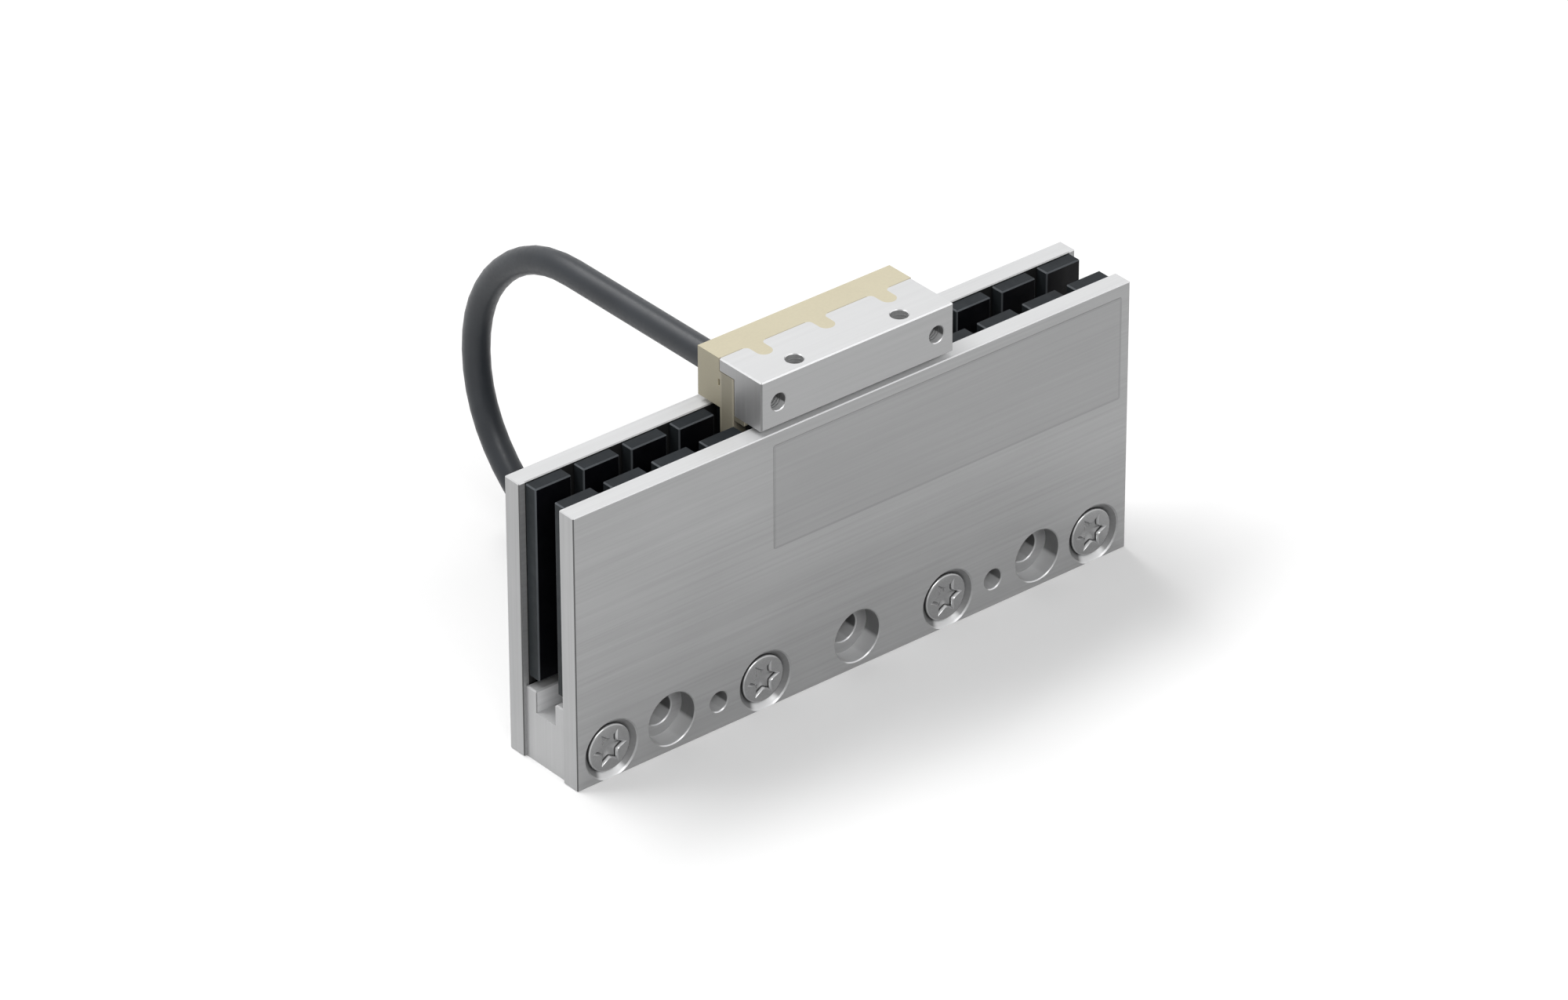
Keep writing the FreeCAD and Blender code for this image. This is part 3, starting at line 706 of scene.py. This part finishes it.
round_rings = [
    (SHANK_RADIUS - TIP_CHAMFER, -SCREW_LENGTH),
    (SHANK_RADIUS, TIP_CHAMFER - SCREW_LENGTH),
    (SHANK_RADIUS, CONE_BOTTOM),
    (HEAD_RADIUS, CONE_TOP),
]
round_rings += [(HEAD_RADIUS - inset, height) for inset, height in RIM_STEPS]
screw_rings = [(radius, radius, height) for radius, height in round_rings] + SOCKET_STEPS
print("A screw is drawn with", len(screw_rings), "rings of", RING_POINTS, "points")

# %% Model one screw
WELD_DISTANCE = 0.002
SMOOTH_ANGLE = math.radians(40)


def deselect_all():
    if bpy.context.mode != "OBJECT":
        bpy.ops.object.mode_set(mode="OBJECT")
    bpy.ops.object.select_all(action="DESELECT")


def place_ring(piece, waist, crest, height):
    """Makes the selected points a star with six crests, or a circle where waist and crest are the same."""
    shape = bmesh.from_edit_mesh(piece.data)
    for corner in shape.verts:
        if corner.select:
            angle = math.atan2(corner.co.y, corner.co.x)
            radius = (crest - (crest - waist) * abs(math.sin(3 * angle)) ** WAIST_BREADTH) * MM
            corner.co = (radius * math.cos(angle), radius * math.sin(angle), height * MM)
    bmesh.update_edit_mesh(piece.data)


def close_up():
    """In edit mode, merges doubled points, turns the faces outwards and leaves edit mode."""
    bpy.ops.mesh.select_all(action="SELECT")
    bpy.ops.mesh.remove_doubles(threshold=WELD_DISTANCE * MM)
    bpy.ops.mesh.normals_make_consistent(inside=False)
    bpy.ops.object.mode_set(mode="OBJECT")


deselect_all()
bpy.ops.mesh.primitive_circle_add(vertices=RING_POINTS, radius=MM, fill_type="NGON")
pattern_screw = bpy.context.object
bpy.ops.object.mode_set(mode="EDIT")
bpy.ops.mesh.select_mode(type="EDGE")
bpy.ops.mesh.select_all(action="SELECT")
place_ring(pattern_screw, *screw_rings[0])
bpy.ops.mesh.select_non_manifold()
for ring in screw_rings[1:]:
    bpy.ops.mesh.extrude_edges_move()
    place_ring(pattern_screw, *ring)
bpy.ops.mesh.extrude_edges_move(TRANSFORM_OT_translate={"value": (0, 0, -SOCKET_DISH * MM)})
bpy.ops.mesh.merge(type="CENTER")
close_up()
bpy.ops.object.shade_smooth_by_angle(angle=SMOOTH_ANGLE)
print("The pattern screw has", len(pattern_screw.data.vertices), "points")


# %% Copy the screws into their places
def make_active(piece):
    deselect_all()
    piece.select_set(True)
    bpy.context.view_layer.objects.active = piece


def settle(piece):
    """Moves a piece's place, turn and size into its mesh."""
    make_active(piece)
    bpy.ops.object.transform_apply(location=True, rotation=True, scale=True)


def copy_to(pattern, place, turn):
    """A copy with its own mesh, at a place in millimetres and turned about X by degrees."""
    copy = pattern.copy()
    copy.data = pattern.data.copy()
    bpy.context.scene.collection.objects.link(copy)
    copy.location = Vector(place) * MM
    copy.rotation_euler = (math.radians(turn), 0, 0)
    settle(copy)
    return copy


def give_name(piece, name):
    """Names a finished piece and its mesh."""
    piece.name = name
    piece.data.name = name
    triangles = sum(len(face.vertices) - 2 for face in piece.data.polygons)
    print(name, "has", triangles, "triangles")
    return piece


def fuse(name, pieces):
    """Joins pieces into one."""
    make_active(pieces[0])
    for piece in pieces:
        piece.select_set(True)
    bpy.ops.object.join()
    return give_name(pieces[0], name)


def screw_row(name, side):
    """A plate's four screws, with their heads towards the front (-1) or the back (1)."""
    places = [(x, side * HEAD_FACE, SCREW_HEIGHT) for x in SCREW_PLACES]
    return fuse(name, [copy_to(pattern_screw, place, -90 * side) for place in places])


front_screws = screw_row("front_screws", -1)
rear_screws = screw_row("rear_screws", 1)
bpy.data.objects.remove(pattern_screw)

# %% [markdown]
# ## Zinc on the screws
# The screws are zinc plated and tumbled, so their faces are duller than the plates and have a fine grain
# without a direction. The socket's walls are painted dark as painted shade in the recess, and its chamfered
# edges painted bright as painted glints. Those faces could get materials of their own, but their direction
# tells them apart: walls look sideways, chamfered edges half outwards, and the head's face straight out.

# %% Finish the screws
SOCKET_SHADE_TONE = 0.12
EDGE_GLINT_TONE = 0.50
OFF_WALL_REACH = (0.25, 0.50)
HEAD_FACE_REACH = (0.85, 0.97)
TUMBLED_WAVES = 6000.0
TUMBLED_RELIEF = 0.0001

zinc = start_finish("zinc_plated_screw", grey(0.31), roughness=0.16, metallic=0.7)
tumbled = grain(zinc, TUMBLED_WAVES)
plated = tinted(zinc, tumbled, dark=grey(0.29), light=grey(0.335))
off_wall = facing_share(zinc, (0, 1, 0), both_ways=True, reach=OFF_WALL_REACH)
on_face = facing_share(zinc, (0, 1, 0), both_ways=True, reach=HEAD_FACE_REACH)
# Painted shade on the socket's walls and painted glints on its edges and the rim.
sloped = mix_colours(zinc, grey(SOCKET_SHADE_TONE), grey(EDGE_GLINT_TONE), off_wall)
paint(zinc, mix_colours(zinc, sloped, plated, on_face))
roughen(zinc, tumbled, low=0.14, high=0.18)
emboss(zinc, tumbled, TUMBLED_RELIEF)
for screws, node in ((front_screws, "front_plate_screws"), (rear_screws, "rear_plate_screws")):
    screws.data.materials.append(zinc)
    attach(screws, "yoke")
    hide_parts(node)
    print(screws.name, "take the place of", node)

# %% [markdown]
# ## Threads in the tapped holes
# The block's four holes are tapped for the machine's carriage, so a helix runs down each wall. A cut thread
# is a small triangle that turns about the hole's axis and climbs one pitch in each turn. A stack of rings
# could stand for it, but the Screw modifier draws the true helix from a profile: a circle of three points,
# moved to the ridge's corners. One thread is made for each depth, its ends are closed, and its copies are
# turned into their holes.

# %% Model the threads
THREAD_PITCH = 0.45
THREAD_PROFILE = [(1.26, -0.62), (1.222, -0.69), (1.26, -0.76)]
THREAD_STEPS = 28
TOP_TAPS = [(x, -4.85, 50.3) for x in (-9.0, 9.0)]
TOP_TURNS = 9
FRONT_TAPS = [(x, -7.15, 46.5) for x in (-13.6, 13.6)]
FRONT_TURNS = 7


def apply_modifier(piece, kind, **settings):
    """Adds a modifier with these settings and makes it part of the mesh."""
    make_active(piece)
    modifier = piece.modifiers.new(kind.title(), kind)
    for name, value in settings.items():
        setattr(modifier, name, value)
    bpy.ops.object.modifier_apply(modifier=modifier.name)


def model_thread(turns):
    """A ridge that winds down from the mouth of a hole, which is at the origin and looks along +Z."""
    deselect_all()
    bpy.ops.mesh.primitive_circle_add(vertices=3, radius=MM)
    thread = bpy.context.object
    bpy.ops.object.mode_set(mode="EDIT")
    shape = bmesh.from_edit_mesh(thread.data)
    for corner, (radius, height) in zip(shape.verts, THREAD_PROFILE):
        corner.co = (radius * MM, 0, height * MM)
    bmesh.update_edit_mesh(thread.data)
    bpy.ops.object.mode_set(mode="OBJECT")
    apply_modifier(
        thread, "SCREW", axis="Z", angle=math.radians(360), screw_offset=-THREAD_PITCH * MM,
        iterations=turns, steps=THREAD_STEPS, render_steps=THREAD_STEPS)
    bpy.ops.object.mode_set(mode="EDIT")
    bpy.ops.mesh.select_all(action="SELECT")
    bpy.ops.mesh.fill_holes(sides=3)
    close_up()
    return thread


threads = []
for places, turns, turn in ((TOP_TAPS, TOP_TURNS, 0), (FRONT_TAPS, FRONT_TURNS, 90)):
    pattern_thread = model_thread(turns)
    threads += [copy_to(pattern_thread, place, turn) for place in places]
    bpy.data.objects.remove(pattern_thread)
tap_threads = fuse("tap_threads", threads)

# %% Finish the threads
TOOL_MARKS = 3000.0

# The thread is painted dark as shade in the hole, and lighter in the top taps as painted light.
cut_thread = start_finish("cut_thread", grey(0.15), roughness=0.45, metallic=0.3)
marks = grain(cut_thread, TOOL_MARKS)
thread_tone = tinted(cut_thread, marks, dark=grey(0.14), light=grey(0.18))
in_top_tap = inside_share(cut_thread, top_tap_box, HOLE_MARGINS)
paint(cut_thread, mix_colours(cut_thread, thread_tone, grey(LIT_TOP_TAP_TONE), in_top_tap))
tap_threads.data.materials.append(cut_thread)
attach(tap_threads, "coil_unit")
print("The threads turn in", len(threads), "holes")

# %% [markdown]
# ## The rating plate
# A thin aluminium foil is glued to the front plate as the place for a rating plate, and it stays bare here.
# A colour on the steel could stand for it, but a real foil has an edge that catches the light. Starting from
# a plane, the corners are rounded with a vertex bevel, the sheet is extruded to its small thickness, and its
# outer rim is broken, so that a fine line runs round it.

# %% Model the foil
FOIL_X = (-14.5, 46.5)
FOIL_Z = (24.2, 40.1)
FOIL_CORNER = 0.35
FOIL_THICKNESS = 0.05
FOIL_RIM = 0.025

plate_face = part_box("front_plate")[0].y
foil_middle = Vector((sum(FOIL_X) / 2 * MM, plate_face, sum(FOIL_Z) / 2 * MM))
deselect_all()
bpy.ops.mesh.primitive_plane_add(size=1.0, location=foil_middle, rotation=(math.radians(90), 0, 0))
foil = bpy.context.object
foil.scale = ((FOIL_X[1] - FOIL_X[0]) * MM, (FOIL_Z[1] - FOIL_Z[0]) * MM, 1.0)
settle(foil)
bpy.ops.object.mode_set(mode="EDIT")
bpy.ops.mesh.select_all(action="SELECT")
bpy.ops.mesh.bevel(offset=FOIL_CORNER * MM, segments=6, affect="VERTICES")
bpy.ops.mesh.select_all(action="SELECT")
bpy.ops.mesh.extrude_region_move(TRANSFORM_OT_translate={"value": (0, -FOIL_THICKNESS * MM, 0)})
bpy.ops.mesh.bevel(offset=FOIL_RIM * MM, segments=2, affect="EDGES")
close_up()
give_name(foil, "rating_foil")

# %% Finish the foil
FOIL_TONE = 0.33
FOIL_STREAK = 0.08
FOIL_RIM_TONE = 0.295
FOIL_RIM_MARGINS = (0.35, 0.0, 0.35)

foil_box = (
    Vector((FOIL_X[0] * MM, plate_face - MM, FOIL_Z[0] * MM)),
    Vector((FOIL_X[1] * MM, plate_face + MM, FOIL_Z[1] * MM)),
)
foil_metal = start_finish("bare_foil", grey(FOIL_TONE), roughness=0.4, metallic=0.5)
foil_lines = brush_lines(foil_metal, facing_share(foil_metal, (1, 0, 0), both_ways=True))
within_rim = inside_share(foil_metal, foil_box, FOIL_RIM_MARGINS)
foil_tone = mix_colours(foil_metal, grey(FOIL_RIM_TONE), grey(FOIL_TONE), within_rim)
paint(foil_metal, streaked(foil_metal, foil_tone, foil_lines, FOIL_STREAK))
roughen(foil_metal, foil_lines, low=0.36, high=0.50)
emboss(foil_metal, foil_lines, BRUSH_RELIEF)
foil.data.materials.append(foil_metal)
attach(foil, "yoke")
print("The foil measures %.1f x %.1f mm" % (FOIL_X[1] - FOIL_X[0], FOIL_Z[1] - FOIL_Z[0]))

# %% [markdown]
# ## The hank's tie
# A nylon tie holds the hank's front run. A bevelled curve could be bent round the bundle, but the real strap
# is one flat strip that is wrapped, so it is made the same way: a short strip under the bundle, spun about
# the cable at each corner and drawn straight between corners. Solidify gives it its thickness and a bevel
# rounds its edges. The lock is a small box whose face is inset and pushed in.

# %% Wrap the strap
STRAP_X = 22.8
STRAP_WIDTH = 4.5
STRAP_THICKNESS = 0.7
STRAP_PLAY = 0.05
STRAP_ROUNDING = 0.12
DEGREES_PER_STEP = 12
NEARLY = 0.01
SHARP_ANGLE = math.radians(50)
FRONT_ROW = HANK_LEFT.y - OUTER_RADIUS
REAR_ROW = HANK_LEFT.y - INNER_RADIUS
MIDDLE_ROW = (FRONT_ROW + REAR_ROW) / 2
SECOND_TURN = LOWEST_TURN + CABLE_DIAMETER
THIRD_TURN = SECOND_TURN + CABLE_DIAMETER


def select_where(piece, kind, test):
    """In edit mode, selects the edges (EDGE) or faces (FACE) that pass a test."""
    bpy.ops.mesh.select_mode(type=kind)
    bpy.ops.mesh.select_all(action="DESELECT")
    shape = bmesh.from_edit_mesh(piece.data)
    for part in shape.edges if kind == "EDGE" else shape.faces:
        part.select_set(test(part))
    bmesh.update_edit_mesh(piece.data)


def turn_strap(angle, y, z):
    """Spins the strap's selected end about a cable that runs along X."""
    bpy.ops.mesh.spin(
        steps=round(angle / DEGREES_PER_STEP), angle=math.radians(angle), axis=(1, 0, 0),
        center=(0, y * MM, z * MM))


def draw_strap(y, z):
    """Draws the strap's selected end straight on."""
    bpy.ops.mesh.extrude_region_move(TRANSFORM_OT_translate={"value": (0, y * MM, z * MM)})


def round_edges(piece, width, segments):
    """Rounds a piece's sharp edges by a width in millimetres."""
    apply_modifier(
        piece, "BEVEL", width=width * MM, segments=segments, limit_method="ANGLE", angle_limit=SHARP_ANGLE)


deselect_all()
strap_bottom = LOWEST_TURN - CABLE_DIAMETER / 2 - STRAP_PLAY
bpy.ops.mesh.primitive_plane_add(size=1.0, location=Vector((STRAP_X, MIDDLE_ROW, strap_bottom)) * MM)
strap = bpy.context.object
strap.scale = (STRAP_WIDTH * MM, (REAR_ROW - FRONT_ROW) * MM, 1.0)
settle(strap)
bpy.ops.object.mode_set(mode="EDIT")
select_where(strap, "EDGE", lambda edge: all(end.co.y > (REAR_ROW - NEARLY) * MM for end in edge.verts))
turn_strap(90, REAR_ROW, LOWEST_TURN)
draw_strap(0, THIRD_TURN - LOWEST_TURN)
turn_strap(135, REAR_ROW, THIRD_TURN)
draw_strap(FRONT_ROW - REAR_ROW, SECOND_TURN - THIRD_TURN)
turn_strap(45, FRONT_ROW, SECOND_TURN)
draw_strap(0, LOWEST_TURN - SECOND_TURN)
turn_strap(90, FRONT_ROW, LOWEST_TURN)
close_up()
apply_modifier(strap, "SOLIDIFY", thickness=STRAP_THICKNESS * MM, offset=1.0)
round_edges(strap, STRAP_ROUNDING, segments=2)
print("The strap stands %.2f mm above the table" % (strap_bottom - STRAP_THICKNESS))

# %% Add the lock
LOCK_SIZE = Vector((5.4, 4.2, 2.2))
LOCK_SINK = 0.1
LOCK_INSET = 0.8
LOCK_POCKET = 0.7
LOCK_ROUNDING = 0.25
SAME_WAY = 0.9
TIE_SMOOTH_ANGLE = math.radians(35)

slope = Vector((0, -1, 1)).normalized()
slope_middle = Vector((STRAP_X, MIDDLE_ROW, (SECOND_TURN + THIRD_TURN) / 2))
lock_height = CABLE_DIAMETER / 2 + STRAP_THICKNESS + LOCK_SIZE.z / 2 - LOCK_SINK
deselect_all()
bpy.ops.mesh.primitive_cube_add(
    size=1.0, location=(slope_middle + slope * lock_height) * MM, rotation=(math.radians(45), 0, 0))
lock = bpy.context.object
lock.scale = LOCK_SIZE * MM
settle(lock)
bpy.ops.object.mode_set(mode="EDIT")
select_where(lock, "FACE", lambda face: face.normal.dot(slope) > SAME_WAY)
bpy.ops.mesh.inset(thickness=LOCK_INSET * MM)
bpy.ops.mesh.extrude_region_move(TRANSFORM_OT_translate={"value": slope * (-LOCK_POCKET * MM)})
close_up()
round_edges(lock, LOCK_ROUNDING, segments=3)
tie = fuse("hank_strap", [strap, lock])
bpy.ops.object.shade_smooth_by_angle(angle=TIE_SMOOTH_ANGLE)

# %% [markdown]
# ## The end of the lead
# The sheath's end is closed by a shrink sleeve, and four cores come out of it: three phases and the earth,
# each with a crimped ferrule. A plain cylinder could stand for the sleeve, but a shrunk tube is drawn in
# past the sheath and is never quite even, so an open cylinder is cut into rings that are drawn in one by
# one. The cores are short smooth tubes that fan out.

# %% Shrink the sleeve
SLEEVE_RADIUS = 2.33
SLEEVE_LENGTH = 9.0
SLEEVE_WALL = 0.26
SLEEVE_OVERHANG = 2.0
SLEEVE_RINGS = 14
SHRINK = 0.09
SHRINK_REACH = (2.5, 4.2)
RIPPLE = 0.008
RIPPLE_STEP = 2.3


def cut_across(height):
    """In edit mode, cuts all of the active piece at a height in millimetres."""
    bpy.ops.mesh.select_all(action="SELECT")
    bpy.ops.mesh.bisect(plane_co=(0, 0, height * MM), plane_no=(0, 0, 1))


def draw_in(height, share):
    """In edit mode, selects the sleeve's ring at a height and scales it."""
    select_where(
        sleeve, "EDGE", lambda edge: all(abs(end.co.z - height * MM) < NEARLY * MM for end in edge.verts))
    bpy.ops.transform.resize(value=(share, share, 1.0))


lead_end = Vector(TAIL_POINTS[-1])
tail_way = (lead_end - Vector(TAIL_POINTS[-2])).normalized()
deselect_all()
bpy.ops.mesh.primitive_cylinder_add(
    vertices=40, radius=SLEEVE_RADIUS * MM, depth=SLEEVE_LENGTH * MM, end_fill_type="NOTHING")
sleeve = bpy.context.object
bpy.ops.object.mode_set(mode="EDIT")
# A ring at the middle comes first, so that the lower half's rings don't pull on the upper half.
cut_across(0)
for ring in range(1, SLEEVE_RINGS):
    height = (ring / SLEEVE_RINGS - 0.5) * SLEEVE_LENGTH
    cut_across(height)
    draw_in(height, 1.0 - SHRINK * eased(height, *SHRINK_REACH) + RIPPLE * math.sin(RIPPLE_STEP * ring))
draw_in(SLEEVE_LENGTH / 2, 1.0 - SHRINK)
close_up()
apply_modifier(sleeve, "SOLIDIFY", thickness=SLEEVE_WALL * MM, offset=-1.0)
sleeve.location = (lead_end + tail_way * (SLEEVE_OVERHANG - SLEEVE_LENGTH / 2)) * MM
sleeve.rotation_euler = tail_way.to_track_quat("Z", "Y").to_euler()
settle(sleeve)
bpy.ops.object.shade_smooth_by_angle(angle=SMOOTH_ANGLE)
give_name(sleeve, "shrink_sleeve")

# %% Fan out the cores
CORE_DIAMETER = 1.1
CORE_PITCH = 1.5
CORE_SPREAD = 6.0
CORE_STRAIGHT = 3.2
CORE_SPREAD_START = 6.0
CORE_LENGTH = 9.0

across = tail_way.cross(Vector((0, 0, 1))).normalized()
upwards = across.cross(tail_way)
cores = []
for side in (-1, 1):
    for level in (-1, 1):
        start = lead_end + (across * side + upwards * level) * CORE_PITCH / 2
        spread = Quaternion((0, 0, 1), math.radians(-side * CORE_SPREAD)) @ tail_way
        reaches = (tail_way * CORE_STRAIGHT, spread * CORE_SPREAD_START, spread * CORE_LENGTH)
        core = smooth_tube("core", [start, *(start + reach for reach in reaches)], CORE_DIAMETER)
        make_active(core)
        bpy.ops.object.convert(target="MESH")
        bpy.ops.object.mode_set(mode="EDIT")
        close_up()
        cores.append(bpy.context.object)
print("The lead ends in", len(cores), "cores")

# %% [markdown]
# ## Cable finishes
# The sheath is a dark slate-grey plastic that was drawn through a die, so it is even and satin with faint
# marks. The tie is black nylon, the shrink sleeve is glossier, and the cores are brown, black, grey, and
# green with a yellow stripe for the earth. One recipe with other colours serves all of these plastics, and
# each core keeps its own finish after the four are joined.

# %% Finish the lead
FINE_WAVES = 1800.0
DRAWN_CLOUDS = 180.0
CRIMP_WAVES = 1500.0
CRIMP_RELIEF = 0.004
TIN = ((0.62, 0.62, 0.60), (0.52, 0.52, 0.50), (0.70, 0.70, 0.68))

# For each plastic: its dark and light colours, roughness, relief and shine.
PLASTICS = {
    "cable_sheath": ((0.019, 0.022, 0.027), (0.026, 0.030, 0.036), (0.34, 0.44), 0.004, 0.4),
    "tie_nylon": ((0.012, 0.012, 0.013), (0.022, 0.022, 0.023), (0.35, 0.50), 0.006, 0.5),
    "shrink_plastic": ((0.010, 0.010, 0.011), (0.018, 0.018, 0.019), (0.25, 0.40), 0.010, 0.5),
}


def drawn_plastic(piece, name, dark, light, roughness, relief, shine=0.5):
    """Gives a piece a plastic with soft clouds and a fine grain."""
    finish = start_finish(name, light, roughness[0], shine=shine)
    fine = grain(finish, FINE_WAVES, detail=2.0)
    paint(finish, tinted(finish, grain(finish, DRAWN_CLOUDS), dark, light))
    roughen(finish, fine, *roughness)
    emboss(finish, fine, relief)
    piece.data.materials.append(finish)
    print(name, "is on", piece.name)


for piece, (name, values) in zip((lead, tie, sleeve), PLASTICS.items()):
    drawn_plastic(piece, name, *values)
tin = grained("tinned_ferrule", TIN, CRIMP_WAVES, roughness=0.3, metallic=1.0, relief=CRIMP_RELIEF)
dress(tin, "core_ferrules")

CORE_COLOURS = {
    "core_brown": ((0.085, 0.035, 0.018), (0.12, 0.05, 0.026)),
    "core_black": ((0.012, 0.012, 0.013), (0.024, 0.024, 0.025)),
    "core_grey": ((0.20, 0.20, 0.205), (0.27, 0.27, 0.275)),
    "core_earth": ((0.03, 0.22, 0.05), (0.55, 0.50, 0.04)),
}
CORE_ROUGHNESS = (0.35, 0.5)
CORE_RELIEF = 0.003

for core, (name, colours) in zip(cores, CORE_COLOURS.items()):
    core.data.materials.clear()
    drawn_plastic(core, name, *colours, CORE_ROUGHNESS, CORE_RELIEF)
core_fan = fuse("lead_cores", cores)
for piece, node, slot in (
    (tie, "hank_tie", "tie"),
    (sleeve, "cable_end_sleeve", "sleeve"),
    (core_fan, "core_wires", "core_insulation"),
):
    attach(piece, "coil_unit")
    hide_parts(node)

# %% [markdown]
# ## Table and light
# The picture shows the motor on a white table under soft light from above and behind, so that its faint
# shadow falls towards the viewer. More lamps would make the table white, but would wash out the motor too.
# So the table is a large plane whose own white is added only for the camera and for reflections: the
# background is white and the metal bright, while the light on the motor stays at a plain level and the
# shadow stays visible. A second, weaker softbox in front of the motor and a little to its left puts the
# bright line on the broken edges and the glints on the screws.

# %% Lay the table
TABLE_SIZE = 8.0
TABLE_WHITE = (0.865, 0.865, 0.865)
TABLE_GLOW = 0.14


def seen_directly(owner):
    """1 where the camera, a reflection or a clear material looks, and 0 for the light on other things."""
    path = add_node(owner, "LightPath")
    looks = either(owner, path.outputs["Is Camera Ray"], path.outputs["Is Glossy Ray"])
    return either(owner, looks, path.outputs["Is Transmission Ray"])


def brightness(owner, lit, seen):
    """A strength of lit for the light on other things, with seen added where something looks."""
    return calculate(owner, "Math", "MULTIPLY_ADD", seen_directly(owner), seen, lit)["Value"]


deselect_all()
bpy.ops.mesh.primitive_plane_add(size=TABLE_SIZE)
table = bpy.context.object
table.name = "white_table"
white = start_finish("table_white", TABLE_WHITE, roughness=0.9, shine=0.0)
shader_of(white).inputs["Emission Color"].default_value = (1.0, 1.0, 1.0, 1.0)
glow = brightness(white, 0.0, TABLE_GLOW)
join(white, glow, shader_of(white).inputs["Emission Strength"])
table.data.materials.append(white)
print("The table is %.0f m wide" % TABLE_SIZE)

# %% Light the room
ROOM_LIGHT = 0.33

room = bpy.data.worlds.new("white_room")
bpy.context.scene.world = room
room.use_nodes = True
room_shader = room.node_tree.nodes["Background"]
room_shader.inputs["Color"].default_value = (1.0, 1.0, 1.0, 1.0)
join(room, brightness(room, ROOM_LIGHT, 1.0 - ROOM_LIGHT), room_shader.inputs["Strength"])
print("The room gives %.2f of full light" % ROOM_LIGHT)


# %% Hang the lamps
def hang_lamp(name, direction, distance, width, height, power):
    """A softbox that looks at the motor from that direction."""
    away = Vector(direction).normalized()
    deselect_all()
    bpy.ops.object.light_add(type="AREA", location=VIEW_TARGET + away * distance)
    lamp = bpy.context.object
    lamp.name = name
    lamp.rotation_euler = away.to_track_quat("Z", "Y").to_euler()
    lamp.data.shape = "RECTANGLE"
    lamp.data.size = width
    lamp.data.size_y = height
    lamp.data.energy = power
    print(name, "gives", power, "W from", round(distance, 2), "m")


hang_lamp("key_softbox", (-0.20, 0.54, 1.0), distance=2.0, width=1.8, height=0.66, power=30.5)
hang_lamp("edge_lamp", (-0.24, -0.73, 0.64), distance=1.3, width=0.95, height=0.40, power=6.0)
